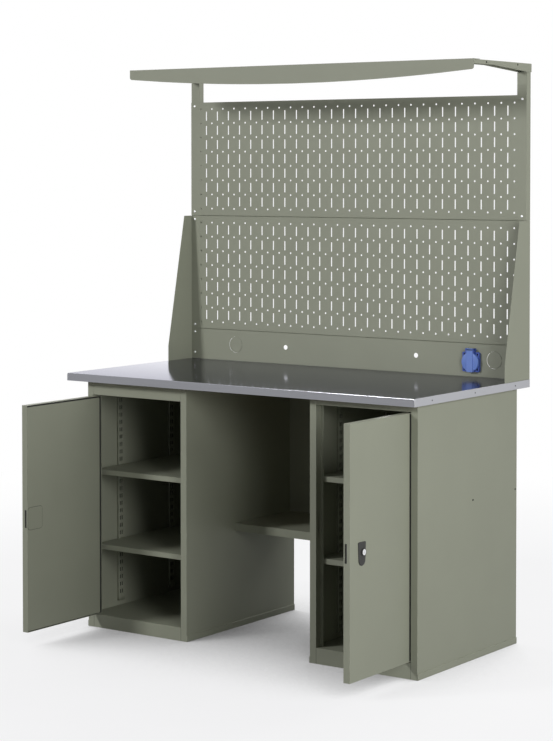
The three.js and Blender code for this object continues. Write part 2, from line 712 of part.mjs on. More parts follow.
// Kneehole: a shelf between the pedestals and a sheet behind it
function addKneehole() {
  const x0 = LEFT.x1 + SEAT;
  const x1 = RIGHT.x0 - SEAT;
  const backFace = PEDESTAL_BACK - KNEEHOLE_BACK_INSET;
  const front = PEDESTAL_FRONT + KNEEHOLE_SETBACK;
  const bottom = KNEEHOLE_SHELF_TOP - KNEEHOLE_LIP;
  const blank = box(x0, x1, front, backFace - SEAT, bottom, KNEEHOLE_SHELF_TOP);
  const hollow = box(
    x0 + SHEET,
    x1 - SHEET,
    front + SHEET,
    backFace - SEAT - SHEET,
    bottom - CUT_PAST,
    KNEEHOLE_SHELF_TOP - SHEET,
  );
  addPart(bench, "kneehole_shelf", cut(blank, hollow), paint());
  const flangeEnd = backFace + KNEEHOLE_BACK_FLANGE;
  const outerFace = [[x0, flangeEnd], [x0, backFace], [x1, backFace], [x1, flangeEnd]];
  const backSheet = extrudeUp(foldedSheet(outerFace, SHEET), bottom, PEDESTAL_TOP);
  addPart(bench, "kneehole_back", backSheet, paint());
}

// A tapered stand: side plate, foot, and a flange before and behind for the panels and the post
function standGeometry(side) {
  const outer = side * END_X;
  const plateInner = side * (END_X - SHEET);
  const inner = side * (END_X - POST_WIDTH);
  const foot = WORKTOP_TOP + SEAT;
  const outline = polygon([
    [SCREEN_DEPTH, foot],
    [SCREEN_DEPTH, STAND_TOP],
    [-STAND_HEAD_REACH, STAND_TOP],
    [-STAND_FOOT_REACH, WORKTOP_TOP + STAND_STRAIGHT_HEIGHT],
    [-STAND_FOOT_REACH, foot],
  ]);
  const plate = extrudeAlongX(outline, Math.min(outer, plateInner), Math.max(outer, plateInner));
  return join(
    plate,
    box(inner, outer, POST_FRONT, POST_FRONT + SHEET, foot, STAND_TOP),
    box(inner, outer, SCREEN_DEPTH - SHEET, SCREEN_DEPTH, foot, STAND_TOP),
    box(inner, outer, POST_FRONT, SCREEN_DEPTH, foot, foot + SHEET),
  );
}

function postGeometry(side) {
  const outer = side * END_X;
  const inner = side * (END_X - POST_WIDTH);
  const outerFace = [[inner, SCREEN_DEPTH], [inner, POST_FRONT], [outer, POST_FRONT], [outer, SCREEN_DEPTH]];
  return extrudeUp(foldedSheet(outerFace, side * SHEET), POST_BOTTOM, POST_BOTTOM + POST_HEIGHT);
}

function joinerGeometry(side) {
  const fit = SHEET + SEAT;
  const front = POST_FRONT + SHEET + SEAT;
  return box(
    side * (END_X - POST_WIDTH + fit),
    side * (END_X - fit),
    front,
    front + JOINER_THICKNESS,
    POST_BOTTOM - JOINER_HEIGHT / 2,
    POST_BOTTOM + JOINER_HEIGHT / 2,
  );
}

// A tapered channel, open below, with a foot plate on the post
function armGeometry(side) {
  const outer = side * END_X;
  const inner = side * (END_X - POST_WIDTH);
  const front = -CANOPY_REACH + SHEET + SEAT;
  const outline = polygon([
    [ARM_REAR, ARM_BOTTOM],
    [ARM_REAR, ARM_TOP],
    [front, ARM_TOP],
    [front, ARM_TOP - ARM_TIP_HEIGHT],
    [-ARM_TAPER_REACH, ARM_TOP - ARM_TIP_HEIGHT],
    [0, ARM_BOTTOM],
  ]);
  const wall = (x) => extrudeAlongX(outline, Math.min(x, x - side * SHEET), Math.max(x, x - side * SHEET));
  return join(
    wall(outer),
    wall(inner + side * SHEET),
    box(inner, outer, front, ARM_REAR, ARM_TOP - SHEET, ARM_TOP),
    box(inner, outer, ARM_REAR - SHEET, ARM_REAR, ARM_BOTTOM, ARM_TOP),
    box(inner, outer, POST_FRONT, SCREEN_DEPTH, ARM_BOTTOM, ARM_BOTTOM + SHEET),
  );
}

// The arched front sheet of the canopy: its lower edge is a shallow parabola
function fasciaGeometry() {
  const end = END_X + FASCIA_OVERHANG;
  const endBottom = FASCIA_TOP - FASCIA_END_HEIGHT;
  const arch = end - FASCIA_CORNER;
  const controlZ = endBottom - 2 * (FASCIA_MIDDLE_HEIGHT - FASCIA_END_HEIGHT);
  const shape = new THREE.Shape();
  shape.moveTo(-end, FASCIA_TOP);
  shape.lineTo(-end, endBottom + FASCIA_CORNER);
  shape.quadraticCurveTo(-end, endBottom, -arch, endBottom);
  shape.quadraticCurveTo(0, controlZ, arch, endBottom);
  shape.quadraticCurveTo(end, endBottom, end, endBottom + FASCIA_CORNER);
  shape.lineTo(end, FASCIA_TOP);
  const curved = { depth: SHEET, bevelEnabled: false, curveSegments: ROUND_SIDES };
  const front = new THREE.ExtrudeGeometry(shape, curved).applyMatrix4(ALONG_Y);
  front.translate(0, SHEET - CANOPY_REACH, 0);
  const flange = box(-end, end, -CANOPY_REACH, -CANOPY_REACH + FASCIA_FLANGE, FASCIA_TOP - SHEET, FASCIA_TOP);
  return join(front, flange);
}

// A panel with a regular field of upright slots round its middle
function perforatedPanel(halfLength, bottom) {
  const middleZ = bottom + PANEL_HEIGHT / 2;
  const slots = [];
  for (let column = 0; column < SLOT_COLUMNS; column++) {
    const x = (column - (SLOT_COLUMNS - 1) / 2) * COLUMN_PITCH;
    for (let row = 0; row < SLOT_ROWS; row++) {
      const z = middleZ + (row - (SLOT_ROWS - 1) / 2) * ROW_PITCH;
      const halfWide = SLOT_WIDTH / 2;
      const halfHigh = SLOT_HEIGHT / 2;
      slots.push(box(x - halfWide, x + halfWide, -CUT_PAST, SHEET + CUT_PAST, z - halfHigh, z + halfHigh));
    }
  }
  const blank = box(-halfLength, halfLength, 0, SHEET, bottom, bottom + PANEL_HEIGHT);
  return cut(blank, mergeGeometries(slots));
}

function roundHole(x, z, radius) {
  return rodAlongY(x, -CUT_PAST, SHEET + CUT_PAST, z, radius, ROUND_SIDES);
}

// One curved slit of a knock-out's outline
function knockoutSlit(x, z, from, to) {
  const slit = new THREE.Shape();
  slit.absarc(x, z, KNOCKOUT_RADIUS, from, to);
  slit.absarc(x, z, KNOCKOUT_RADIUS - KNOCKOUT_SLIT, to, from, true);
  return extrudeAlongY(slit, -CUT_PAST, SHEET + CUT_PAST);
}

function bandGeometry() {
  const halfLength = END_X - SHEET - SEAT;
  const blank = box(-halfLength, halfLength, 0, SHEET, BAND_BOTTOM, BAND_BOTTOM + BAND_HEIGHT);
  const cableZ = WORKTOP_TOP + CABLE_HOLE_RISE;
  const knockoutZ = WORKTOP_TOP + KNOCKOUT_RISE;
  const holes = [
    roundHole(-CABLE_HOLE_X, cableZ, CABLE_HOLE_RADIUS),
    roundHole(CABLE_HOLE_X, cableZ, CABLE_HOLE_RADIUS),
    roundHole(SOCKET_X, WORKTOP_TOP + SOCKET_RISE, SOCKET_BARREL_RADIUS + SOCKET_HOLE_MARGIN),
  ];
  const turn = (2 * Math.PI) / KNOCKOUT_SLITS;
  const bridge = THREE.MathUtils.degToRad(KNOCKOUT_BRIDGE);
  for (const x of [LEFT_KNOCKOUT_X, RIGHT_KNOCKOUT_X]) {
    for (let slit = 0; slit < KNOCKOUT_SLITS; slit++) {
      const from = slit * turn + bridge / 2;
      holes.push(knockoutSlit(x, knockoutZ, from, from + turn - bridge));
    }
  }
  return cut(blank, ...holes);
}

function addScreen() {
  for (const [name, side] of [["left", -1], ["right", 1]]) {
    addPart(bench, `${name}_stand`, standGeometry(side), paint());
    addPart(bench, `${name}_post`, postGeometry(side), paint());
    addPart(bench, `${name}_post_joiner`, joinerGeometry(side), paint());
    addPart(bench, `${name}_arm`, armGeometry(side), paint());
  }
  addPart(bench, "lower_panel", perforatedPanel(END_X - SHEET - SEAT, LOWER_PANEL_BOTTOM), paint());
  addPart(bench, "upper_panel", perforatedPanel(END_X, UPPER_PANEL_BOTTOM), paint());
  addPart(bench, "socket_band", bandGeometry(), paint());
  addPart(bench, "fascia", fasciaGeometry(), paint());
}

// Panel socket with a hinged lid
function addSocket() {
  const z = WORKTOP_TOP + SOCKET_RISE;
  const half = SOCKET_PLATE / 2;
  const plateFront = -SEAT - SOCKET_PLATE_THICKNESS;
  const pinZ = z + half + LID_PIN_RISE;
  const lidBack = plateFront - SEAT;
  const lidFront = lidBack - LID_THICKNESS;
  const pinY = (lidBack + lidFront) / 2;
  const halfBar = LID_BAR_WIDTH / 2;
  const earInner = halfBar + SEAT;
  const earOuter = earInner + EAR_THICKNESS;
  const headTop = pinZ + LID_HEAD;
  const bore = rodAlongX(
    SOCKET_X - earOuter - CUT_PAST,
    SOCKET_X + earOuter + CUT_PAST,
    pinY,
    pinZ,
    LID_PIN_RADIUS + RUN,
    PIN_SIDES,
  );

  const plateShape = roundedRectangle(SOCKET_X - half, SOCKET_X + half, z - half, z + half, SOCKET_PLATE_CORNER);
  const ears = [-1, 1].map((side) =>
    box(
      SOCKET_X + side * earInner,
      SOCKET_X + side * earOuter,
      lidFront,
      -SEAT,
      z + half - EAR_OVERLAP,
      headTop,
    ),
  );
  const boreBottom = SOCKET_BARREL_DEPTH - SOCKET_BOTTOM;
  const body = cut(
    join(
      extrudeAlongY(plateShape, plateFront, -SEAT),
      rodAlongY(SOCKET_X, -SEAT - CUT_PAST, SOCKET_BARREL_DEPTH, z, SOCKET_BARREL_RADIUS, ROUND_SIDES),
      ...ears,
    ),
    rodAlongY(SOCKET_X, plateFront - CUT_PAST, boreBottom, z, SOCKET_BORE_RADIUS, ROUND_SIDES),
    bore,
  );
  addPart(bench, "socket_body", body, bluePlastic());

  const insertBack = boreBottom - SEAT;
  const insertFront = insertBack - INSERT_THICKNESS;
  const contactHoles = [-1, 1].map((side) =>
    rodAlongY(
      SOCKET_X + (side * CONTACT_SPACING) / 2,
      insertFront - CUT_PAST,
      insertBack + CUT_PAST,
      z,
      CONTACT_RADIUS,
      PIN_SIDES,
    ),
  );
  const insertBlank = rodAlongY(SOCKET_X, insertFront, insertBack, z, SOCKET_BORE_RADIUS - SEAT, ROUND_SIDES);
  addPart(bench, "socket_insert", cut(insertBlank, ...contactHoles), blackPlastic());

  const lid = cut(
    join(
      rodAlongY(SOCKET_X, lidFront, lidBack, z, LID_RADIUS, ROUND_SIDES),
      box(SOCKET_X - halfBar, SOCKET_X + halfBar, lidFront, lidBack, z - LID_TAB_DROP, headTop),
    ),
    bore,
  );
  addPart(bench, "socket_lid", lid, bluePlastic());
  const pin = rodAlongX(SOCKET_X - earOuter, SOCKET_X + earOuter, pinY, pinZ, LID_PIN_RADIUS, PIN_SIDES);
  addPart(bench, "socket_lid_pin", pin, zinc());
}

addWorktop();
addPedestal(LEFT);
addPedestal(RIGHT);
addKneehole();
addScreen();
addSocket();

// The origin lies on the floor under the middle of the finished bench, doors open
const extent = new THREE.Box3().setFromObject(bench);
const middle = extent.getCenter(new THREE.Vector3());
bench.position.set(-middle.x, -middle.y, -extent.min.z);

export default bench;
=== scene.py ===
"""A workshop bench with cupboard pedestals, a perforated screen and a canopy, dressed round its solids."""

import json
import math

import bmesh
import bpy
import numpy as np
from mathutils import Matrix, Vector


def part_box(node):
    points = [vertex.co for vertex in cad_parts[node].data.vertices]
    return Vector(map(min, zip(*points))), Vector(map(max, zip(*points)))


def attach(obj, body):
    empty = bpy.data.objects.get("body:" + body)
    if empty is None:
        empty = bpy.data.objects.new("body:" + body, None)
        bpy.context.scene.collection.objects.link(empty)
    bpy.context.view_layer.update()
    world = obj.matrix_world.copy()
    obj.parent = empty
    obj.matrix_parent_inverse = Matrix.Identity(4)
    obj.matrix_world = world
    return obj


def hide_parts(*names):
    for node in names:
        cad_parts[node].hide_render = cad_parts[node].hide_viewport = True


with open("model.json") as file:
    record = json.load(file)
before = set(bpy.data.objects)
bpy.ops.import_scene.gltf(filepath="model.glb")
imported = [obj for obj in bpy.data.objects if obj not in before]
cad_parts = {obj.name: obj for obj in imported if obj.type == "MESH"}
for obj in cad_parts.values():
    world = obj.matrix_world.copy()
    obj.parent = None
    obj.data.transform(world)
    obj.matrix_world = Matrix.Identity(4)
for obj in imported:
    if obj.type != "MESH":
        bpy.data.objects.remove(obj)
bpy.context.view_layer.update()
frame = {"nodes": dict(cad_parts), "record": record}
NODE_BODY = {node: body for body, nodes in frame["record"]["behaviour"]["bodies"].items() for node in nodes}

bl_info = {
    "name": "Workshop bench",
    "version": (1, 0, 0),
    "blender": (4, 5, 0),
    "location": "3D View > Sidebar > Bench",
    "description": "Builds the visible pieces of a steel workshop bench round its solids",
    "category": "Object",
}

MM = 0.001
SIDES = ("left", "right")

# The record's material slots
PAINT_SLOT = "green_grey_paint"
STEEL_SLOT = "worktop_steel"
EDGE_SLOT = "edge_steel"
BOARD_SLOT = "core_board"
ZINC_SLOT = "zinc_plated_steel"
BLACK_SLOT = "black_plastic"
BLUE_SLOT = "blue_plastic"

# Making meshes
WELD = 1e-6
SOLID_WELD = 1e-5
FLAT_ANGLE = math.radians(0.5)
SHARP_ANGLE = math.radians(35)
EDGE_STEPS = 2
ROUND_STEPS = 24
ARC_STEPS = 8


def linear(hex_colour):
    """The linear RGB of an sRGB hex value: each channel through the sRGB transfer curve."""
    channels = np.array([int(hex_colour[i : i + 2], 16) for i in (1, 3, 5)]) / 255
    bright = ((channels + 0.055) / 1.055) ** 2.4
    return tuple(float(c) for c in np.where(channels <= 0.04045, channels / 12.92, bright))


def colour_property(label, note, hex_colour):
    """A colour that a user can change, from an sRGB hex value."""
    return bpy.props.FloatVectorProperty(
        name=label, description=note, subtype="COLOR", size=3, min=0, max=1, default=linear(hex_colour)
    )


def length_property(label, note, millimetres):
    """A length that a user can change, from millimetres."""
    return bpy.props.FloatProperty(
        name=label, description=note, subtype="DISTANCE", unit="LENGTH", min=0, default=millimetres * MM
    )


class BenchSizes(bpy.types.PropertyGroup):
    """Small sizes that the solids don't hold."""

    edge_radius: length_property("Edge radius", "Rounding of the sheet metal's cut edges and folds", 0.5)
    slot_width: length_property("Slot width", "Width of a panel's upright slots", 4.7)
    slot_height: length_property("Slot height", "Height of a panel's upright slots", 33)
    slot_corner: length_property("Slot corner", "Corner radius of the slots", 1.2)
    column_pitch: length_property("Column pitch", "Distance between columns of slots", 50.4)
    row_pitch: length_property("Row pitch", "Distance between rows of slots", 52)
    dot_diameter: length_property("Dot diameter", "Diameter of the round holes between the slots", 6.6)
    strip_slot_width: length_property("Strip slot width", "Width of the shelf strips' slots", 5.2)
    strip_slot_height: length_property("Strip slot height", "Height of the shelf strips' slots", 14)
    strip_bend: length_property("Strip bend", "Bend radius of the shelf strips", 2)
    nose_radius: length_property("Nose radius", "Rounding of the worktop's front edge", 2.6)
    rear_radius: length_property("Rear radius", "Rounding of the worktop's back edge", 2)
    panel_screw: length_property("Panel screw", "Head diameter of the panel screws", 9)
    trim_screw: length_property("Trim screw", "Head diameter of the worktop's end screws", 4.6)
    side_screw: length_property("Side screw", "Head diameter of the screws in the pedestals and arms", 6.5)
    cover_width: length_property("Cover width", "Width of the plate behind each lock", 69)
    cover_height: length_property("Cover height", "Height of the plate behind each lock", 73)
    base_height: length_property("Base height", "Height of the band round each pedestal's foot", 20)


class BenchColours(bpy.types.PropertyGroup):
    """Colours of the bench's finishes."""

    paint: colour_property("Paint", "Powder coat on all sheet metal", "#919484")
    steel: colour_property("Worktop steel", "Polished sheet on the worktop", "#88898e")
    edge: colour_property("Edge steel", "Satin strips on the worktop's ends", "#aeafb3")
    zinc: colour_property("Zinc", "Plated panel screws and lock cylinders", "#e2e3e4")
    bolt: colour_property("Bolt", "Black-oxide steel of bolts, pins and small screws", "#191918")
    # Black plastic's colour also paints shade: strips in the doors' grooves, hinge gaps and bolt slots, and
    # plates behind the shelf strips' slots.
    black: colour_property("Black plastic", "Lock plates, shade_strips and socket insert", "#1f1f1d")
    lid: colour_property("Socket lid", "Lid of the panel socket", "#6c89d2")
    body: colour_property("Socket body", "Body of the panel socket", "#3d57a8")
    board: colour_property("Board", "Core of the worktop", "#a98b62")
    floor: colour_property("Floor", "Pale floor of the stage", "#ededee")


def sizes():
    return bpy.context.scene.bench_sizes


def colours():
    return bpy.context.scene.bench_colours


# Materials


NOISE_RANGE = (0.3, 0.7)  # where nearly all of a noise texture's values lie
BRUSH_LENGTH_MM = 160
BRUSH_TINTS = (0.96, 1.03)  # of the steel's colour, in the darkest and the lightest streak


def node(tree, kind, links=None, stops=(), **settings):
    """Adds a node of a kind, sets its properties and sockets, and links other nodes' outputs into it.

    A setting that is a property of the node is set there, and any other one is an input socket's default.
    A link's key is an input's name or number, and its value is the output socket that goes in.
    Stops are a colour ramp's positions and colours.
    """
    made = tree.nodes.new(kind)
    for number, (position, colour) in enumerate(stops):
        made.color_ramp.elements[number].position = position
        made.color_ramp.elements[number].color = colour
    for name, value in settings.items():
        if hasattr(made, name):
            setattr(made, name, value)
        else:
            made.inputs[name.replace("_", " ")].default_value = value
    for name, output in (links or {}).items():
        tree.links.new(output, made.inputs[name])
    return made


def new_material(name):
    """An empty node material and its tree."""
    material = bpy.data.materials.new(name)
    material.use_nodes = True
    material.node_tree.nodes.clear()
    return material, material.node_tree


def close_material(material, tree, shader):
    """Ends a material's tree with its shader on the surface."""
    node(tree, "ShaderNodeOutputMaterial", {"Surface": shader.outputs["BSDF"]})
    return material


def rgba(colour, factor):
    """A colour times a factor, with full alpha."""
    return (*(min(1.0, channel * factor) for channel in colour), 1.0)


def per_metre(millimetres):
    """The scale of a texture on Object coordinates whose grain is that many millimetres wide."""
    return 1.0 / (millimetres * MM)


def tint_stops(colour, low, high):
    """Stops at the ends of a noise's usual range: a colour times a low factor, and times a high one."""
    return [(position, rgba(colour, factor)) for position, factor in zip(NOISE_RANGE, (low, high))]


def noise_to(low, high):
    """Settings that stretch a noise's usual range to run from low to high."""
    return {"From_Min": NOISE_RANGE[0], "From_Max": NOISE_RANGE[1], "To_Min": low, "To_Max": high}


def mottled(tree, coordinates, grain_mm, colour, spread, detail=2.0):
    """A colour that varies by a spread up and down over patches of a grain's width, and its noise."""
    noise = node(
        tree,
        "ShaderNodeTexNoise",
        {"Vector": coordinates},
        Scale=per_metre(grain_mm),
        Detail=detail,
        Roughness=0.55,
    )
    stops = tint_stops(colour, 1 - spread, 1 + spread)
    tint = node(tree, "ShaderNodeValToRGB", {"Fac": noise.outputs["Fac"]}, stops)
    return tint.outputs["Color"], noise.outputs["Fac"]


def powder_coated_steel():
    # Polyester powder baked on steel sheet: it flows out to a satin skin with a faint orange peel.
    # The real peel is about 1.5 mm wide; it is drawn 4 mm wide, because finer would not show.
    material, tree = new_material("powder_coated_steel")
    place = node(tree, "ShaderNodeTexCoord").outputs["Object"]
    colour, _ = mottled(tree, place, grain_mm=180, colour=colours().paint, spread=0.02)
    peel = node(tree, "ShaderNodeTexNoise", {"Vector": place}, Scale=per_metre(4), Detail=1.0)
    fine = node(tree, "ShaderNodeTexNoise", {"Vector": place}, Scale=per_metre(1.2), Detail=2.0)
    gloss = node(tree, "ShaderNodeMapRange", {"Value": fine.outputs["Fac"]}, **noise_to(0.5, 0.58))
    bump = node(tree, "ShaderNodeBump", {"Height": peel.outputs["Fac"]}, Strength=0.06, Distance=0.0003)
    shader = node(
        tree,
        "ShaderNodeBsdfPrincipled",
        {
            "Base Color": colour,
            "Roughness": gloss.outputs["Result"],
            "Normal": bump.outputs["Normal"],
        },
        Specular_IOR_Level=0.4,
    )
    return close_material(material, tree, shader)


def streaks(tree, coordinates, along_mm, across_mm):
    """Noise drawn out along X into brush lines of a length and a width."""
    stretch = node(
        tree,
        "ShaderNodeMapping",
        {"Vector": coordinates},
        Scale=(per_metre(along_mm), per_metre(across_mm), per_metre(across_mm)),
    )
    noise = node(tree, "ShaderNodeTexNoise", {"Vector": stretch.outputs["Vector"]}, Scale=1.0, Detail=3.0)
    return noise.outputs["Fac"]


def rolled_steel(name, colour, low, high, line_mm, tilt, glance):
    """Bare rolled steel: streaks along the sheet vary its gloss, its tint and, faintly, its height.

    Its roughness lies between low and high. The glance tints its mirror where the sheet is seen nearly
    edge on.
    """
    material, tree = new_material(name)
    place = node(tree, "ShaderNodeTexCoord").outputs["Object"]
    lines = streaks(tree, place, BRUSH_LENGTH_MM, line_mm)
    tint = node(tree, "ShaderNodeValToRGB", {"Fac": lines}, tint_stops(colour, *BRUSH_TINTS))
    gloss = node(tree, "ShaderNodeMapRange", {"Value": lines}, **noise_to(low, high))
    bump = node(tree, "ShaderNodeBump", {"Height": lines}, Strength=tilt, Distance=0.0001)
    shader = node(
        tree,
        "ShaderNodeBsdfPrincipled",
        {
            "Base Color": tint.outputs["Color"],
            "Roughness": gloss.outputs["Result"],
            "Normal": bump.outputs["Normal"],
        },
        Metallic=1.0,
        Specular_Tint=rgba(linear(glance), 1),
    )
    return close_material(material, tree, shader)


def polished_worktop_steel():
    # Cold-rolled and polished: it mirrors the screen softly. Its brush lines, really about 0.2 mm apart,
    # are drawn 1.5 mm wide so that they show.
    return rolled_steel(
        "polished_rolled_steel",
        colours().steel,
        low=0.12,
        high=0.16,
        line_mm=1.5,
        tilt=0.03,
        glance="#ceced7",
    )


def satin_edge_steel():
    # A cold-rolled strip with a dull skin: pale, with a broad soft reflection.
    return rolled_steel(
        "satin_rolled_steel",
        colours().edge,
        low=0.42,
        high=0.5,
        line_mm=1.5,
        tilt=0.05,
        glance="#f3f3f6",
    )


def zinc_plated_steel():
    # Zinc electroplate, bright-passivated: a pale metal with a slightly cloudy gloss about 2 mm in patch.
    material, tree = new_material("zinc_plated_steel")
    place = node(tree, "ShaderNodeTexCoord").outputs["Object"]
    colour, cloud = mottled(tree, place, grain_mm=2, colour=colours().zinc, spread=0.05)
    gloss = node(tree, "ShaderNodeMapRange", {"Value": cloud}, **noise_to(0.26, 0.38))
    shader = node(
        tree,
        "ShaderNodeBsdfPrincipled",
        {"Base Color": colour, "Roughness": gloss.outputs["Result"]},
        Metallic=1.0,
    )
    return close_material(material, tree, shader)


def oiled_bolt_steel():
    # Black-oxide steel, oiled: dark and half dull, with faint scuffs 3 mm wide.
    material, tree = new_material("black_oxide_steel")
    place = node(tree, "ShaderNodeTexCoord").outputs["Object"]
    colour, scuff = mottled(tree, place, grain_mm=3, colour=colours().bolt, spread=0.12)
    gloss = node(tree, "ShaderNodeMapRange", {"Value": scuff}, **noise_to(0.5, 0.65))
    shader = node(
        tree,
        "ShaderNodeBsdfPrincipled",
        {"Base Color": colour, "Roughness": gloss.outputs["Result"]},
        Metallic=1.0,
    )
    return close_material(material, tree, shader)


def moulded_plastic(name, colour, low, high, grain_mm, depth):
    """Injection-moulded plastic: an even colour with the mould's fine grain, rough between low and high."""
    material, tree = new_material(name)
    place = node(tree, "ShaderNodeTexCoord").outputs["Object"]
    tint, _ = mottled(tree, place, grain_mm=25, colour=colour, spread=0.03)
    grain = node(tree, "ShaderNodeTexNoise", {"Vector": place}, Scale=per_metre(grain_mm), Detail=2.0)
    gloss = node(tree, "ShaderNodeMapRange", {"Value": grain.outputs["Fac"]}, **noise_to(low, high))
    bump = node(tree, "ShaderNodeBump", {"Height": grain.outputs["Fac"]}, Strength=depth, Distance=0.0002)
    shader = node(
        tree,
        "ShaderNodeBsdfPrincipled",
        {
            "Base Color": tint,
            "Roughness": gloss.outputs["Result"],
            "Normal": bump.outputs["Normal"],
        },
        IOR=1.53,
    )
    return close_material(material, tree, shader)


def grained_polyamide_and_painted_shade():
    # Glass-filled polyamide with a spark-eroded grain: dark, dull and slightly pebbled.
    # The same material paints shade on black strips and plates put in the doors' grooves, hinge gaps and
    # bolt slots and behind the shelf strips' slots.
    colour = colours().black
    return moulded_plastic("grained_polyamide_and_painted_shade", colour, low=0.55, high=0.7, grain_mm=0.9, depth=0.15)


def glossy_lid_polyamide():
    # Polyamide from a polished mould: clean blue with a soft gloss.
    colour = colours().lid
    return moulded_plastic("lid_polyamide", colour, low=0.3, high=0.36, grain_mm=1.5, depth=0.03)


def body_polyamide():
    # The same plastic in the deeper blue of the socket's body.
    colour = colours().body
    return moulded_plastic("socket_polyamide", colour, low=0.34, high=0.42, grain_mm=1.5, depth=0.04)


def pressed_fibreboard():
    # Dry-pressed wood fibre: matt and tan, with fibres about 1.5 mm long mixed light and dark.
    material, tree = new_material("pressed_fibreboard")
    place = node(tree, "ShaderNodeTexCoord").outputs["Object"]
    colour, fibre = mottled(tree, place, grain_mm=1.5, colour=colours().board, spread=0.18, detail=6.0)
    bump = node(tree, "ShaderNodeBump", {"Height": fibre}, Strength=0.2, Distance=0.0003)
    shader = node(
        tree,
        "ShaderNodeBsdfPrincipled",
        {"Base Color": colour, "Normal": bump.outputs["Normal"]},
        Roughness=0.85,
    )
    return close_material(material, tree, shader)


FINISHES = {
    "paint": (powder_coated_steel, PAINT_SLOT),
    "steel": (polished_worktop_steel, STEEL_SLOT),
    "edge": (satin_edge_steel, EDGE_SLOT),
    "zinc": (zinc_plated_steel, ZINC_SLOT),
    "bolt": (oiled_bolt_steel, ZINC_SLOT),
    "black": (grained_polyamide_and_painted_shade, BLACK_SLOT),
    "lid": (glossy_lid_polyamide, BLUE_SLOT),
    "body": (body_polyamide, BLUE_SLOT),
    "board": (pressed_fibreboard, BOARD_SLOT),
}
made_finishes = {}


def finish(name):
    """The finish's material, made the first time it is asked for."""
    if name not in made_finishes:
        made_finishes[name] = FINISHES[name][0]()
    return made_finishes[name]


# Meshes


def corners(node_name):
    """Lowest and highest corner of a node, as arrays in metres."""
    low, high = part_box(node_name)
    return np.array(low), np.array(high)


def weld(points):
    """Points that lie on each other become one: the unique ones, and each old point's new number."""
    keys = np.round(points / WELD).astype(np.int64)
    _, first, number = np.unique(keys, axis=0, return_index=True, return_inverse=True)
    return points[first], number.reshape(-1)


def add_piece(name, points, faces, body, finish_name, nodes=(), smooth=True):
    """A mesh object from points and faces, with its finish, riding on a body and standing for nodes."""
    mesh = bpy.data.meshes.new(name)
    mesh.from_pydata(points.tolist(), [], [list(face) for face in faces])
    mesh.update()
    return dress(name, mesh, body, finish_name, nodes, smooth)


def dress(name, mesh, body, finish_name, nodes=(), smooth=True):
    """The object of a finished mesh: shaded, coloured, linked, riding on a body and standing for nodes."""
    if smooth:
        mesh.polygons.foreach_set("use_smooth", np.ones(len(mesh.polygons), dtype=bool))
        mesh.set_sharp_from_angle(angle=SHARP_ANGLE)
    mesh.materials.clear()
    mesh.materials.append(finish(finish_name))
    piece = bpy.data.objects.new(name, mesh)
    bpy.context.scene.collection.objects.link(piece)
    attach(piece, body)
    if nodes:
        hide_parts(*nodes)
    return piece


def round_edges(piece, radius):
    """A Bevel modifier on the edges that turn more than the sharp angle."""
    bevel = piece.modifiers.new("rounded edges", "BEVEL")
    bevel.width = radius
    bevel.segments = EDGE_STEPS
    bevel.limit_method = "ANGLE"
    bevel.angle_limit = SHARP_ANGLE
    bevel.harden_normals = True
    return piece


def rounded_copy(node_name, finish_name, radius):
    """A node's solid, in its place, with triangles merged into flat faces and edges rounded."""
    name = node_name + "_rounded"
    mesh = frame["nodes"][node_name].data.copy()
    mesh.name = name
    shape = bmesh.new()
    shape.from_mesh(mesh)
    bmesh.ops.remove_doubles(shape, verts=shape.verts, dist=SOLID_WELD)
    bmesh.ops.dissolve_limit(shape, angle_limit=FLAT_ANGLE, verts=shape.verts, edges=shape.edges)
    shape.to_mesh(mesh)
    shape.free()
    if "custom_normal" in mesh.attributes:
        mesh.attributes.remove(mesh.attributes["custom_normal"])
    piece = dress(name, mesh, NODE_BODY[node_name], finish_name, (node_name,))
    return round_edges(piece, radius)


# A rectangle's 16 points, anticlockwise from its lower left corner. The outlines of holes run the same way.
CELL_U = np.array([-1, -0.5, 0, 0.5, 1, 1, 1, 1, 1, 0.5, 0, -0.5, -1, -1, -1, -1])
CELL_V = np.array([-1, -1, -1, -1, -1, -0.5, 0, 0.5, 1, 1, 1, 1, 1, 0.5, 0, -0.5])
CELL_POINTS = len(CELL_U)


def slot_outline(width, height, corner):
    """A rectangle with rounded corners: each corner is the end of two sides and the middle of their arc."""
    inset = np.where(np.abs(CELL_U) == np.abs(CELL_V), corner * (1 - math.sqrt(0.5)), 0.0)
    along_u = np.where(np.abs(CELL_U) == 0.5, width / 2 - corner, np.abs(CELL_U) * width / 2 - inset)
    along_v = np.where(np.abs(CELL_V) == 0.5, height / 2 - corner, np.abs(CELL_V) * height / 2 - inset)
    return np.sign(CELL_U) * along_u, np.sign(CELL_V) * along_v


def round_outline(diameter):
    """A circle whose points start on the lower left diagonal."""
    angles = math.radians(-135) + np.arange(CELL_POINTS) * (2 * math.pi / CELL_POINTS)
    return np.cos(angles) * diameter / 2, np.sin(angles) * diameter / 2


def pierced_column(u0, u1, centres, pitch, outline, low, high):
    """One column of holes: round each hole a ring of quads runs out to the hole's own rectangle.

    The rectangles are as wide as the column and a pitch high, cut off at the sheet's low and high edge.
    """
    hole_u, hole_v = outline
    middle = (u0 + u1) / 2
    count = len(centres)
    outer_u = np.broadcast_to(middle + CELL_U * (u1 - u0) / 2, (count, CELL_POINTS))
    outer_v = np.clip(centres[:, None] + CELL_V * pitch / 2, low, high)
    inner_u = np.broadcast_to(middle + hole_u, (count, CELL_POINTS))
    inner_v = centres[:, None] + hole_v
    points = np.stack([np.hstack([outer_u, inner_u]), np.hstack([outer_v, inner_v])], axis=-1)
    here = np.arange(CELL_POINTS)
    after = np.roll(here, -1)
    ring = np.stack([here, after, after + CELL_POINTS, here + CELL_POINTS], axis=-1)
    faces = ring + (np.arange(count) * 2 * CELL_POINTS)[:, None, None]
    return points.reshape(-1, 2), faces.reshape(-1, 4)


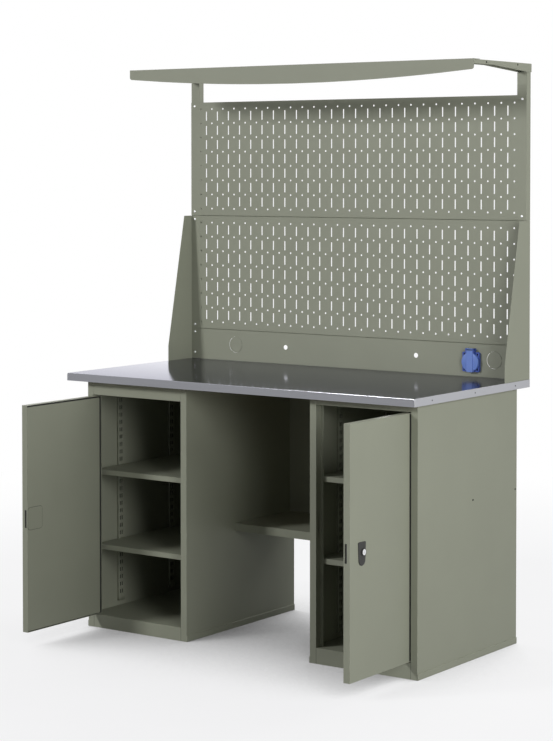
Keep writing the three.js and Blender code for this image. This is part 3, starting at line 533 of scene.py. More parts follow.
def plain_patch(u_edges, v_edges):
    """A patch of quads between the given lines across and along a sheet."""
    u, v = np.meshgrid(u_edges, v_edges)
    points = np.stack([u, v], axis=-1).reshape(-1, 2)
    columns = len(u_edges)
    first = np.arange(len(v_edges) - 1)[:, None] * columns + np.arange(columns - 1)
    faces = np.stack([first, first + 1, first + 1 + columns, first + columns], axis=-1)
    return points, faces.reshape(-1, 4)


def join_patches(patches):
    """Patches of one sheet put together, with their common points welded."""
    points = []
    faces = []
    count = 0
    for patch_points, patch_faces in patches:
        points.append(patch_points)
        faces.append(patch_faces + count)
        count += len(patch_points)
    welded, number = weld(np.concatenate(points))
    return welded, number[np.concatenate(faces)]


def thicken(piece, thickness):
    """A Solidify modifier that gives a sheet its metal behind the drawn face."""
    wall = piece.modifiers.new("sheet", "SOLIDIFY")
    wall.thickness = thickness
    wall.offset = -1
    return piece


QUARTERS = np.array([-1, -0.5, 0, 0.5, 1])


def perforated_panel(node_name):
    """A panel whose columns hold upright slots and round holes in turn, half a row apart.

    Columns are half a column pitch wide. Every column's lines lie at quarters of the row pitch, so that
    neighbouring columns share their points. Round holes run one row further than the slots at both ends.
    """
    s = sizes()
    low, high = corners(node_name)
    half_u = (high[0] - low[0]) / 2
    half_v = (high[2] - low[2]) / 2
    middle = (low + high) / 2
    pitch_u, pitch_v = s.column_pitch, s.row_pitch
    rows = int(2 * half_v // pitch_v)
    slot_columns = int((2 * half_u - pitch_u) // pitch_u)
    slot_rows = (np.arange(rows) - (rows - 1) / 2) * pitch_v
    dot_rows = (np.arange(rows + 1) - rows / 2) * pitch_v
    slots = slot_outline(s.slot_width, s.slot_height, s.slot_corner)
    dots = round_outline(s.dot_diameter)
    ends = np.array([rows / 2 * pitch_v, (rows + 0.5) / 2 * pitch_v, half_v])
    patches = []
    for column in range(2 * slot_columns + 1):
        centre = (column - slot_columns) * pitch_u / 2
        u0, u1 = centre - pitch_u / 4, centre + pitch_u / 4
        if column % 2 == 0:
            patches.append(pierced_column(u0, u1, dot_rows, pitch_v, dots, -half_v, half_v))
            continue
        patches.append(pierced_column(u0, u1, slot_rows, pitch_v, slots, -half_v, half_v))
        lines = centre + QUARTERS * pitch_u / 4
        patches.append(plain_patch(lines, ends))
        patches.append(plain_patch(lines, -ends[::-1]))
    field = (2 * slot_columns + 1) * pitch_u / 4
    quarter_lines = np.arange(-2 * (rows + 1), 2 * (rows + 1) + 1) * pitch_v / 4
    lines = np.clip(quarter_lines, -half_v, half_v)
    patches.append(plain_patch(np.array([-half_u, -field]), lines))
    patches.append(plain_patch(np.array([field, half_u]), lines))
    flat, faces = join_patches(patches)
    points = np.column_stack([flat[:, 0] + middle[0], np.full(len(flat), low[1]), flat[:, 1] + middle[2]])
    name = node_name + "_perforated"
    piece = add_piece(name, points, faces, NODE_BODY[node_name], "paint", (node_name,), smooth=False)
    return thicken(piece, float(high[1] - low[1]))


class BENCH_OT_perforated_panels(bpy.types.Operator):
    """Makes the two screen panels with their slots and round holes"""

    bl_idname = "bench.perforated_panels"
    bl_label = "Perforated panels"

    def execute(self, context):
        for node_name in ("upper_panel", "lower_panel"):
            perforated_panel(node_name)
        return {"FINISHED"}


STRIP_STEPS = 10  # slots from one shelf to the next
STRIP_SHEET = 1 * MM
STRIP_MARGIN = 0.5 * MM  # from the front bend to the front column of slots
STRIP_HOOK_COLUMN = (-4.4 * MM, 5.4 * MM)  # the hook slots' column, from the strip's middle to the back
# A black plate behind each strip's slots is painted shade: it darkens the hollow seen through them.
STRIP_SHADE_ROWS = ((0, 0), (0, 0.5))
STRIP_SHADE_EDGE = 2 * MM
HOOK_SLOT_DROP = 6.65 * MM  # from a shelf's top to the middle of its hook's slot


def fold_strip(across, half_face, depth, bend):
    """A flat coordinate across a strip carried round its channel: a face, two quarter bends and two walls.

    Returns how far along the face and how far back towards the side sheet each point lies.
    """
    flat = half_face - bend
    turn = math.pi / 2 * bend
    past = np.abs(across) - flat
    angle = np.clip(past / bend, 0, math.pi / 2)
    wall = np.clip(past - turn, 0, None)
    along = np.where(past < 0, np.abs(across), flat + bend * np.sin(angle))
    back = np.where(past < 0, 0.0, bend * (1 - np.cos(angle)) + wall)
    return np.sign(across) * along, np.clip(back, 0, depth)


def slotted_strip(side, place, depth_place):
    """A shelf strip: a slotted sheet folded into a channel on the pedestal's side, with a black plate of
    painted shade behind its slots.
    """
    s = sizes()
    node_name = f"{side}_{place}_{depth_place}_strip"
    low, high = corners(node_name)
    upper = corners(f"{side}_upper_shelf")[1][2]
    lower = corners(f"{side}_lower_shelf")[1][2]
    pitch = (upper - lower) / STRIP_STEPS
    anchor = upper - HOOK_SLOT_DROP
    first = math.ceil((low[2] + pitch / 2 - anchor) / pitch)
    last = math.floor((high[2] - pitch / 2 - anchor) / pitch)
    centres = anchor + np.arange(first, last + 1) * pitch
    bottom, top = centres[0] - pitch / 2, centres[-1] + pitch / 2
    bend = s.strip_bend
    half_face = (high[1] - low[1]) / 2
    depth = high[0] - low[0]
    flat = half_face - bend
    turn = math.pi / 2 * bend
    edge = flat + turn + depth - bend
    arc = flat + np.linspace(0, turn, ARC_STEPS + 1)
    front = STRIP_MARGIN - flat
    middle, rear = STRIP_HOOK_COLUMN
    front_lines = np.concatenate([[-edge], -arc[::-1], [front]])
    rear_lines = np.concatenate([[rear], arc, [edge]])
    slot = slot_outline(s.strip_slot_width, s.strip_slot_height, s.slot_corner)
    quarters = (centres[:, None] + QUARTERS[:-1] * pitch / 2).reshape(-1)
    rows = np.concatenate([[low[2]], quarters, [top, high[2]]])
    patches = [plain_patch(front_lines, rows), plain_patch(rear_lines, rows)]
    for start, end in ((front, middle), (middle, rear)):
        lines = np.linspace(start, end, len(QUARTERS))
        patches.append(pierced_column(start, end, centres, pitch, slot, low[2], high[2]))
        patches.append(plain_patch(lines, np.array([low[2], bottom])))
        patches.append(plain_patch(lines, np.array([top, high[2]])))
    flat_points, faces = join_patches(patches)
    along, back = fold_strip(flat_points[:, 0], half_face, depth, bend)
    faces_plus_x = (side, place) in (("left", "outer"), ("right", "inner"))
    x = high[0] - back if faces_plus_x else low[0] + back
    y = (low[1] + high[1]) / 2 + along
    points = np.column_stack([x, y, flat_points[:, 1]])
    outward = faces if faces_plus_x else faces[:, ::-1]
    name = node_name + "_slotted"
    piece = add_piece(name, points, outward, NODE_BODY[node_name], "paint", (node_name,))
    thicken(piece, STRIP_SHEET)
    wall, out = (low[0], "+x") if faces_plus_x else (high[0], "-x")
    # Painted shade: a black plate behind the slots, so that they read dark.
    y_shade = (low[1] + STRIP_SHADE_EDGE, high[1] - STRIP_SHADE_EDGE)
    z_shade = (low[2] + STRIP_SHADE_EDGE, high[2] - STRIP_SHADE_EDGE)
    shade_plate = node_name + "_lining"
    upright_plate(shade_plate, wall, y_shade, z_shade, STRIP_SHADE_ROWS, SHADE_STRIP_CORNER, out, "bench", "black")


class BENCH_OT_shelf_strips(bpy.types.Operator):
    """Makes the slotted strips that carry the shelves"""

    bl_idname = "bench.shelf_strips"
    bl_label = "Shelf strips"

    def execute(self, context):
        for side in SIDES:
            for place in ("outer", "inner"):
                for depth_place in ("front", "rear"):
                    slotted_strip(side, place, depth_place)
        return {"FINISHED"}


PEDESTAL_SHEETS = ("outer_side", "inner_side", "top_pan", "floor_pan", "back")
OTHER_SHEETS = ("upper_shelf", "lower_shelf", "stand", "post", "arm")
FOLDED_NODES = (
    *(f"{side}_{part}" for side in SIDES for part in PEDESTAL_SHEETS),
    *(f"{side}_{part}" for side in SIDES for part in OTHER_SHEETS),
    *(f"{side}_door_skin" for side in SIDES),
    "kneehole_shelf",
    "kneehole_back",
    "fascia",
)


class BENCH_OT_folded_sheets(bpy.types.Operator):
    """Rounds the edges of the folded and painted sheets"""

    bl_idname = "bench.folded_sheets"
    bl_label = "Folded sheets"

    def execute(self, context):
        for node_name in FOLDED_NODES:
            rounded_copy(node_name, "paint", sizes().edge_radius)
        return {"FINISHED"}


WORKTOP_SHEET = 1.2 * MM
END_STRIP_EDGE = 0.4 * MM


def arc_points(centre_y, centre_z, radius, start, end):
    """Points of an arc in the side view, from one angle in degrees to another."""
    angles = np.radians(np.linspace(start, end, ARC_STEPS + 1))
    return np.column_stack([centre_y + radius * np.cos(angles), centre_z + radius * np.sin(angles)])


def carried_profile(profile, x0, x1):
    """A closed side outline carried along X: one quad for each of its sides, and a cap at each end."""
    count = len(profile)
    here = np.arange(count)
    after = np.roll(here, -1)
    points = np.vstack([np.column_stack([np.full(count, x), profile]) for x in (x0, x1)])
    sides = np.stack([here, here + count, after + count, after], axis=-1)
    return points, [*sides.tolist(), here.tolist(), (here[::-1] + count).tolist()]


class BENCH_OT_worktop(bpy.types.Operator):
    """Makes the worktop's steel sheet with its rounded nose, and the strips on its ends"""

    bl_idname = "bench.worktop"
    bl_label = "Worktop"

    def execute(self, context):
        s = sizes()
        low, high = corners("worktop_sheet")
        nose, rear = s.nose_radius, s.rear_radius
        front_y, back_y, top = low[1], high[1], high[2]

        def path(inset):
            """The sheet's side view at a depth below its face: front, nose, top, rear bend and back."""
            return np.vstack([
                [[front_y + inset, low[2]]],
                arc_points(front_y + nose, top - nose, nose - inset, 180, 90),
                arc_points(back_y - rear, top - rear, rear - inset, 90, 0),
                [[back_y - inset, low[2]]],
            ])

        profile = np.vstack([path(0.0), path(WORKTOP_SHEET)[::-1]])
        points, faces = carried_profile(profile, low[0], high[0])
        add_piece("worktop_steel", points, faces, "bench", "steel", ("worktop_sheet",))
        for side in SIDES:
            rounded_copy(f"worktop_{side}_end_strip", "edge", END_STRIP_EDGE)
        return {"FINISHED"}


# Screws


RECESS_SHARE = 0.16  # of a head's diameter, to the recess's corners
RECESS_FLOOR = (0.35, 0.3)  # of a head's height, at the floor's rim and at its middle
HEAD_DOME = math.pi / 2.6  # angle that the dome spans
HEAD_DOME_STEPS = 6


def turned_head(diameter, height):
    """A screw's head as a grid: a profile of radius and height turned round an axis, with a hexagon recess.

    The rows go from the rim up over a dome to the recess, whose radius follows a hexagon, and to its floor.
    """
    radius = diameter / 2
    recess = diameter * RECESS_SHARE
    dome = np.linspace(0, HEAD_DOME, HEAD_DOME_STEPS)
    rim = np.column_stack([radius * np.cos(dome), height * np.sin(dome) / math.sin(dome[-1])])
    floor_rim, floor_middle = RECESS_FLOOR
    recess_rows = [[recess, height], [recess, height * floor_rim], [0.0, height * floor_middle]]
    profile = np.vstack([[[radius, 0.0]], rim, recess_rows])
    angles = np.arange(ROUND_STEPS) * (2 * math.pi / ROUND_STEPS)
    sixth = math.pi / 3
    hexagon = math.cos(sixth / 2) / np.cos(np.mod(angles, sixth) - sixth / 2)
    is_recess = np.arange(len(profile)) >= len(profile) - len(recess_rows)
    scale = np.where(is_recess[:, None], hexagon[None, :], 1.0)
    across = profile[:, :1] * scale * np.cos(angles)
    along = profile[:, :1] * scale * np.sin(angles)
    up = np.broadcast_to(profile[:, 1:], across.shape)
    first = np.arange(len(profile) - 1)[:, None] * ROUND_STEPS + np.arange(ROUND_STEPS)
    turned = np.arange(len(profile) - 1)[:, None] * ROUND_STEPS + np.roll(np.arange(ROUND_STEPS), -1)
    faces = np.stack([first, turned, turned + ROUND_STEPS, first + ROUND_STEPS], axis=-1).reshape(-1, 4)
    return np.stack([across, along, up], axis=-1).reshape(-1, 3), faces


def screw_heads(name, places, outward, diameter, height, body, finish_name):
    """The same head at several places, facing one way, as one piece with its poles closed."""
    head, faces = turned_head(diameter, height)
    axis = np.array(outward, dtype=float)
    side = np.cross(axis, [0.0, 0.0, 1.0])
    up = np.cross(side, axis)
    turned = head[:, :1] * side + head[:, 1:2] * up + head[:, 2:] * axis
    places = np.array(places, dtype=float)
    points = (places[:, None, :] + turned[None]).reshape(-1, 3)
    all_faces = (faces[None] + (np.arange(len(places)) * len(head))[:, None, None]).reshape(-1, 4)
    shape = bmesh.new()
    mesh = bpy.data.meshes.new(name)
    mesh.from_pydata(points.tolist(), [], all_faces.tolist())
    shape.from_mesh(mesh)
    bmesh.ops.remove_doubles(shape, verts=shape.verts, dist=WELD)
    bmesh.ops.holes_fill(shape, edges=[e for e in shape.edges if e.is_boundary], sides=ROUND_STEPS)
    bmesh.ops.recalc_face_normals(shape, faces=shape.faces)
    shape.to_mesh(mesh)
    shape.free()
    return dress(name, mesh, body, finish_name)


PANEL_SCREW_INSET = 16 * MM  # from the worktop's end
PANEL_SCREW_EDGE = 13 * MM  # from a panel's upper or lower edge
PANEL_SCREW_HEIGHT = 2.4 * MM
BAND_SCREW_EDGES = (21 * MM, 12 * MM)  # from its lower and upper edge
TRIM_SCREW_Y = (-100 * MM, 161 * MM, 422 * MM)
TRIM_SCREW_HEIGHT = 0.8 * MM
TRIM_SCREW_Z = 857 * MM
SIDE_SCREW_HEIGHT = 1.6 * MM
SIDE_SCREW_Y = (169.5 * MM, 443.5 * MM)
SIDE_SCREW_Z = 513 * MM
ARM_SCREW_Y = (226.5 * MM, 429.5 * MM)
ARM_SCREW_Z = 1907.5 * MM


class BENCH_OT_screws(bpy.types.Operator):
    """Makes the screws in the panels, the worktop's ends, the pedestals and the arms"""

    bl_idname = "bench.screws"
    bl_label = "Screws"

    def execute(self, context):
        s = sizes()
        end = corners("worktop_right_end_strip")[1][0]
        panel_places = []
        for node_name in ("upper_panel", "lower_panel", "socket_band"):
            low, high = corners(node_name)
            edges = BAND_SCREW_EDGES if node_name == "socket_band" else (PANEL_SCREW_EDGE, PANEL_SCREW_EDGE)
            heights = (low[2] + edges[0], high[2] - edges[1])
            for x in (-end + PANEL_SCREW_INSET, end - PANEL_SCREW_INSET):
                panel_places += [(x, low[1], z) for z in heights]
        face = (0, -1, 0)
        screw_heads("panel_screws", panel_places, face, s.panel_screw, PANEL_SCREW_HEIGHT, "bench", "zinc")
        for side, way in zip(SIDES, (-1, 1)):
            out = (way, 0, 0)
            trim = [(way * end, y, TRIM_SCREW_Z) for y in TRIM_SCREW_Y]
            screw_heads(f"{side}_trim_screws", trim, out, s.trim_screw, TRIM_SCREW_HEIGHT, "bench", "bolt")
            low, high = corners(f"{side}_outer_side")
            wall = low[0] if way < 0 else high[0]
            on_wall = [(wall, y, SIDE_SCREW_Z) for y in SIDE_SCREW_Y]
            on_arm = [(way * end, y, ARM_SCREW_Z) for y in ARM_SCREW_Y]
            for name, places in (("side_screws", on_wall), ("arm_screws", on_arm)):
                screw_heads(f"{side}_{name}", places, out, s.side_screw, SIDE_SCREW_HEIGHT, "bench", "bolt")
        return {"FINISHED"}


# Raised plates, whose rows are pairs of inset and rise in millimetres, from the foot up


def rounded_rectangle(width, height, corner):
    """A closed outline of four quarter circles joined by straight sides, anticlockwise."""
    angles = np.radians(np.linspace(0, 90, ARC_STEPS + 1))
    pieces = []
    for quarter, (sign_u, sign_v) in enumerate(((1, 1), (-1, 1), (-1, -1), (1, -1))):
        turn = angles + quarter * math.pi / 2
        pieces.append(np.column_stack([
            sign_u * (width / 2 - corner) + corner * np.cos(turn),
            sign_v * (height / 2 - corner) + corner * np.sin(turn),
        ]))
    return np.vstack(pieces)


def circle(radius):
    """A closed round outline, anticlockwise."""
    steps = 2 * ROUND_STEPS
    angles = np.arange(steps) * (2 * math.pi / steps)
    return radius * np.column_stack([np.cos(angles), np.sin(angles)])


def stacked_rings(rings):
    """Closed rings of equal count joined by quads, with a flat face over the last and the first."""
    count = len(rings[0])
    here = np.arange(count)
    after = np.roll(here, -1)
    base = (np.arange(len(rings) - 1) * count)[:, None]
    quads = np.stack([base + here, base + after, base + after + count, base + here + count], axis=-1)
    last = here + (len(rings) - 1) * count
    return np.vstack(rings), [*quads.reshape(-1, 4).tolist(), last.tolist(), here[::-1].tolist()]


# For each way that a face looks: the way across it, the way up it and the way out of it
OUT_AXES = {
    "+x": ((0, 1, 0), (0, 0, 1), (1, 0, 0)),
    "-x": ((0, -1, 0), (0, 0, 1), (-1, 0, 0)),
    "-y": ((1, 0, 0), (0, 0, 1), (0, -1, 0)),
    "+y": ((-1, 0, 0), (0, 0, 1), (0, 1, 0)),
}


def raised_plate(name, outline, rows, origin, out, body, finish_name, nodes=()):
    """A plate built up from its outline: each row draws the outline in by an inset and lifts it by a rise.

    The outline lies across and up from the origin, on a face that looks out along one axis.
    """
    half = np.abs(outline).max(axis=0)
    rings = [
        np.column_stack([outline * (1 - inset / half), np.full(len(outline), rise)]) for inset, rise in rows
    ]
    points, faces = stacked_rings(rings)
    placed = np.array(origin) + points @ np.array(OUT_AXES[out], dtype=float)
    return add_piece(name, placed, faces, body, finish_name, nodes)


def in_metres(rows):
    """Insets and rises given in millimetres."""
    return [(inset * MM, rise * MM) for inset, rise in rows]


# Door liners


LINER_GROOVES = {"hinge": 8 * MM, "free": 1.5 * MM, "top": 5 * MM, "foot": 2 * MM}
LINER_CORNER = 4 * MM
LINER_ROWS = ((0, 0), (0, 0.6), (0.35, 1.05), (1.0, 1.2))
# Black strips deep in the liners' grooves are painted shade: they darken the grooves along the hinge and the
# top.
SHADE_STRIP_ROWS = ((0, 0), (0, 0.8))
SHADE_STRIP_DROP = 0.9 * MM  # from the liner's back to the back of the black strip of painted shade
SHADE_STRIP_LAP = 3 * MM  # under the liner
SHADE_STRIP_CORNER = 0.2 * MM
# A black strip beside each leaf's hinge edge is painted shadow: it stands for the dark hinge gap.
HINGE_STRIP = (18 * MM, 9 * MM)  # its edges, from the leaf's hinge edge
HINGE_STRIP_END = 3 * MM
HINGE_STRIP_ROWS = ((0, 0), (0.2, 0.4))


def upright_plate(name, x, y, z, rows, corner, out, body, finish_name, nodes=()):
    """A raised plate on a face at x, between two depths y and two heights z."""
    outline = rounded_rectangle(y[1] - y[0], z[1] - z[0], corner)
    origin = (x, (y[0] + y[1]) / 2, (z[0] + z[1]) / 2)
    raised_plate(name, outline, in_metres(rows), origin, out, body, finish_name, nodes)


class BENCH_OT_door_liners(bpy.types.Operator):
    """Makes the inner sheets of the doors with a groove round them, and black strips that paint the shade in
    the grooves and the hinge gaps
    """

    bl_idname = "bench.door_liners"
    bl_label = "Door liners"

    def execute(self, context):
        for side in SIDES:
            out, back = ("-x", "+x") if side == "left" else ("+x", "-x")
            self.liner(side, back)
            self.hinge_shadow_strip(side, out)
        return {"FINISHED"}

    def liner(self, side, back):
        """The inner sheet, and two black strips deep in its groove along the hinge and the top, which paint
        the groove's shade.
        """
        grooves = LINER_GROOVES
        low, high = corners(f"{side}_door_liner")
        y = (low[1] + grooves["free"], high[1] - grooves["hinge"])
        z = (low[2] + grooves["foot"], high[2] - grooves["top"])
        rear = low[0] if back == "+x" else high[0]
        body = f"{side}_door"
        nodes = (f"{side}_door_liner",)
        sheet = f"{side}_liner_sheet"
        upright_plate(sheet, rear, y, z, LINER_ROWS, LINER_CORNER, back, body, "paint", nodes)
        deep = rear - SHADE_STRIP_DROP if back == "+x" else rear + SHADE_STRIP_DROP
        hinge_y = (y[1] - SHADE_STRIP_LAP, high[1])
        top_y = (low[1], y[1] - SHADE_STRIP_LAP)
        top_z = (z[1] - SHADE_STRIP_LAP, high[2])
        # Painted shade: black strips in the groove along the hinge and the top.
        for name, span_y, span_z in (("hinge_shade_strip", hinge_y, (low[2], high[2])), ("top_shade_strip", top_y, top_z)):
            shade_strip = f"{side}_{name}"
            upright_plate(shade_strip, deep, span_y, span_z, SHADE_STRIP_ROWS, SHADE_STRIP_CORNER, back, body, "black")

    def hinge_shadow_strip(self, side, out):
        """A black strip down the leaf's outer face beside its hinge edge: painted shadow of the hinge gap.
        """
        low, high = corners(f"{side}_door_skin")
        face = low[0] if out == "-x" else high[0]
        y = (high[1] - HINGE_STRIP[0], high[1] - HINGE_STRIP[1])
        z = (low[2] + HINGE_STRIP_END, high[2] - HINGE_STRIP_END)
        rows = HINGE_STRIP_ROWS
        upright_plate(f"{side}_hinge_shadow_strip", face, y, z, rows, SHADE_STRIP_CORNER, out, f"{side}_door", "black")


# Locks


CYLINDER_EDGE = 0.35 * MM
LOCK_SHOULDER = 4 * MM
LOCK_LOWER_RADIUS = 17 * MM
LOCK_ROWS = ((0, 0), (0, 1.8), (0.5, 2.6), (1.5, 3.1), (3.5, 3.3))
COLLAR_RADIUS = 11.6 * MM
COLLAR_ROWS = ((0, 2.0), (0, 6.1), (0.5, 6.6), (1.9, 6.6), (2.2, 6.2), (2.2, 3.0))
COVER_ROWS = ((0, 0), (0, 0.6), (0.4, 0.9), (1.2, 0.9))
COVER_CORNER = 11 * MM
COVER_GAP = 2 * MM  # from the liner's free edge
GASKET = 1 * MM  # past the cover on every side
GASKET_ROWS = ((0, 0), (0, 0.3))
SLOT_SHADE_WIDTH = 1.8 * MM  # painted shade: a black strip over the clearance on each side of the bolt
SLOT_SHADE_PLAY = 0.05 * MM  # from the bolt to each strip
SLOT_SHADE_ROWS = ((0, 0), (0.05, 0.06))
SLOT_SHADE_CORNER = 0.1 * MM


def lock_outline(width, height):
    """Square shoulders above and a round end below, joined by sides that draw in, anticlockwise."""
    shoulder = LOCK_SHOULDER
    lower = LOCK_LOWER_RADIUS
    round_end = np.radians(np.linspace(-180, 0, 2 * ARC_STEPS + 1))
    quarter = np.radians(np.linspace(0, 90, ARC_STEPS + 1))
    middle_u = width / 2 - shoulder
    middle_v = height / 2 - shoulder
    return np.vstack([
        np.column_stack([lower * np.cos(round_end), lower - height / 2 + lower * np.sin(round_end)]),
        np.column_stack([middle_u + shoulder * np.cos(quarter), middle_v + shoulder * np.sin(quarter)]),
        np.column_stack([-middle_u - shoulder * np.sin(quarter), middle_v + shoulder * np.cos(quarter)]),
    ])


class BENCH_OT_locks(bpy.types.Operator):
    """Makes the locks' plates, collars, cylinders and covers, and black strips that paint the shade in the
    bolts' slots
    """

    bl_idname = "bench.locks"
    bl_label = "Locks"

    def execute(self, context):
        for side in SIDES:
            out, back = ("-x", "+x") if side == "left" else ("+x", "-x")
            self.plate(side, out)
            self.cover(side, back)
            self.slot_shade_strips(side)
            rounded_copy(f"{side}_lock_cylinder", "zinc", CYLINDER_EDGE)
        return {"FINISHED"}

    def plate(self, side, out):
        """The domed black plate on the door's face, and the collar round its cylinder."""
        low, high = corners(f"{side}_lock_plate")
        middle = (low + high) / 2
        face = low[0] if out == "+x" else high[0]
        outline = lock_outline(high[1] - low[1], high[2] - low[2])
        origin = (face, middle[1], middle[2])
        body = f"{side}_door"
        nodes = (f"{side}_lock_plate",)
        raised_plate(f"{side}_lock_dome", outline, in_metres(LOCK_ROWS), origin, out, body, "black", nodes)
        low, high = corners(f"{side}_lock_cylinder")
        turn_axis = (face, (low[1] + high[1]) / 2, (low[2] + high[2]) / 2)
        ring = circle(COLLAR_RADIUS)
        raised_plate(f"{side}_lock_collar", ring, in_metres(COLLAR_ROWS), turn_axis, out, body, "black")

    def cover(self, side, back):
        """The thin plate on the liner's inner face, behind the lock."""
        s = sizes()
        low, high = corners(f"{side}_door_liner")
        bolt_low, bolt_high = corners(f"{side}_lock_bolt")
        face = high[0] if back == "+x" else low[0]
        middle_y = low[1] + COVER_GAP + s.cover_width / 2
        origin = (face, middle_y, (bolt_low[2] + bolt_high[2]) / 2)
        outline = rounded_rectangle(s.cover_width, s.cover_height, COVER_CORNER)
        body = f"{side}_door"
        raised_plate(f"{side}_lock_cover", outline, in_metres(COVER_ROWS), origin, back, body, "paint")
        rim_width, rim_height = s.cover_width + 2 * GASKET, s.cover_height + 2 * GASKET
        rim = rounded_rectangle(rim_width, rim_height, COVER_CORNER + GASKET)
        raised_plate(f"{side}_cover_gasket", rim, in_metres(GASKET_ROWS), origin, back, body, "black")

    def slot_shade_strips(self, side):
        """Two thin black strips on the door's free edge, one on each side of the bolt, that paint the shade
        of its slot's clearance.
        """
        edge = corners(f"{side}_door_skin")[0][1]
        low, high = corners(f"{side}_lock_bolt")
        outline = rounded_rectangle(SLOT_SHADE_WIDTH, high[2] - low[2], SLOT_SHADE_CORNER)
        rows = in_metres(SLOT_SHADE_ROWS)
        offset = SLOT_SHADE_PLAY + SLOT_SHADE_WIDTH / 2
        # Painted shade: black strips over the slot's clearance beside the bolt.
        for place, x in (("left", low[0] - offset), ("right", high[0] + offset)):
            origin = (x, edge, (low[2] + high[2]) / 2)
            raised_plate(f"{side}_slot_{place}_rim", outline, rows, origin, "-y", f"{side}_door", "black")


# Socket


SOCKET_EDGE = 0.9 * MM
LID_BAR = 23 * MM
LID_STEP = 2.6 * MM  # from the bar's face back to the disc's
LID_GROOVE = (958.8 * MM, 962.4 * MM, 5 * MM)  # lower and upper edge, and depth
LID_RIM = 1.2 * MM
LID_RIM_TURN = 0.36 * MM  # inset and drop of the rim's middle
LID_BAR_EDGE = 0.45 * MM
LID_DISC_RADIUS = 32 * MM
SOCKET_SCREW_INSET = 7.5 * MM
SOCKET_SCREW = 6 * MM
SOCKET_SCREW_HEIGHT = 0.6 * MM
PLATE_FACE = 481.2 * MM  # depth of the socket plate's face


class BENCH_OT_socket(bpy.types.Operator):
    """Makes the panel socket's body, its screws, and its round lid with a raised bar"""

    bl_idname = "bench.socket"
    bl_label = "Panel socket"

    def execute(self, context):
        rounded_copy("socket_body", "body", SOCKET_EDGE)
        low, high = corners("socket_body")
        half = (high[0] - low[0]) / 2
        x = (low[0] + high[0]) / 2
        z = low[2] + half
        reach = half - SOCKET_SCREW_INSET
        places = [(x + u * reach, PLATE_FACE, z + v * reach) for u in (-1, 1) for v in (-1, 1)]
        face = (0, -1, 0)
        screw_heads("socket_screws", places, face, SOCKET_SCREW, SOCKET_SCREW_HEIGHT, "bench", "bolt")
        self.lid(x, z)
        return {"FINISHED"}

    def lid(self, x, z):
        """A disc with a rounded rim, and over it a bar with a groove that goes up to the pin."""
        low, high = corners("socket_lid")
        thick = high[1] - low[1] - LID_STEP
        rows = [(0, 0), (0, thick - LID_RIM), (LID_RIM_TURN, thick - LID_RIM_TURN), (LID_RIM, thick)]
        origin = (x, high[1], z)
        disc = circle(LID_DISC_RADIUS)
        raised_plate("socket_lid_disc", disc, rows, origin, "-y", "socket_cover", "lid", ("socket_lid",))
        groove_low, groove_high, depth = LID_GROOVE
        front = low[1]
        profile = np.array([
            (front, low[2]),
            (front, groove_low),
            (front + depth, groove_low),
            (front + depth, groove_high),
            (front, groove_high),
            (front, high[2]),
            (high[1], high[2]),
            (high[1], low[2]),
        ])
        points, faces = carried_profile(profile, x - LID_BAR / 2, x + LID_BAR / 2)
        bar = add_piece("socket_lid_bar", points, faces, "socket_cover", "lid")
        round_edges(bar, LID_BAR_EDGE)


# Screen joints and knock-outs


JOINT_RAIL = 1.5 * MM
JOINT_DEPTH = 11 * MM  # from the panels' backs to the rails
JOINT_RAIL_REACH = 8 * MM  # past the gap on both sides
JOINT_END_GAP = 2 * MM
FOOT_DEPTH = 0.2 * MM  # from the band's back to the foot rail
FOOT_LIFT = 0.02 * MM
KNOCKOUTS = ((-496 * MM, 929 * MM), (582 * MM, 929 * MM))  # their middles across and up
KNOCKOUT_BACK_RADIUS = 29.3 * MM
KNOCKOUT_DEPTH = 2 * MM
KNOCKOUT_BACK = 0.8 * MM


class BENCH_OT_screen_joints(bpy.types.Operator):
    """Makes the rails behind the joints of the screen, and the backs of the knock-outs"""

    bl_idname = "bench.screen_joints"
    bl_label = "Screen joints"

    def execute(self, context):
        inner = corners("right_post")[0][0] - JOINT_END_GAP
        upper_low, upper_high = corners("upper_panel")
        lower_low, lower_high = corners("lower_panel")
        band_low, band_high = corners("socket_band")
        worktop = corners("worktop_sheet")[1][2]
        gaps = {
            "upper_joint_rail": (lower_high[2] - JOINT_RAIL_REACH, upper_low[2] + JOINT_RAIL_REACH),
            "lower_joint_rail": (band_high[2] - JOINT_RAIL_REACH, lower_low[2] + JOINT_RAIL_REACH),
            "foot_rail": (worktop + FOOT_LIFT, band_low[2] + JOINT_RAIL_REACH),
        }
        for name, (z0, z1) in gaps.items():
            y0 = upper_high[1] + (FOOT_DEPTH if name == "foot_rail" else JOINT_DEPTH)
            y1 = y0 + JOINT_RAIL
            profile = np.array([(y0, z0), (y0, z1), (y1, z1), (y1, z0)])
            points, faces = carried_profile(profile, -inner, inner)
            add_piece(name, points, faces, "bench", "paint")
        rows = [(0, 0), (0, KNOCKOUT_BACK)]
        disc = circle(KNOCKOUT_BACK_RADIUS)
        for side, (x, z) in zip(SIDES, KNOCKOUTS):
            origin = (x, band_high[1] + KNOCKOUT_DEPTH, z)
            raised_plate(f"{side}_knockout_back", disc, rows, origin, "+y", "bench", "paint")
        return {"FINISHED"}


# Stand feet and base strips


STAND_SHEET = 1.2 * MM
STAND_FOOT_LIFT = 0.02 * MM
STAND_FOOT_HEIGHT = 1.2 * MM
STAND_FOOT_LAP = 0.2 * MM  # past the stand's sheet, inwards
STAND_FOOT_END = 0.5 * MM
BASE_ROWS = ((0, 0), (0, 2.1), (0.4, 2.5))
BASE_CORNER = 0.8 * MM
BASE_LIFT = 0.3 * MM


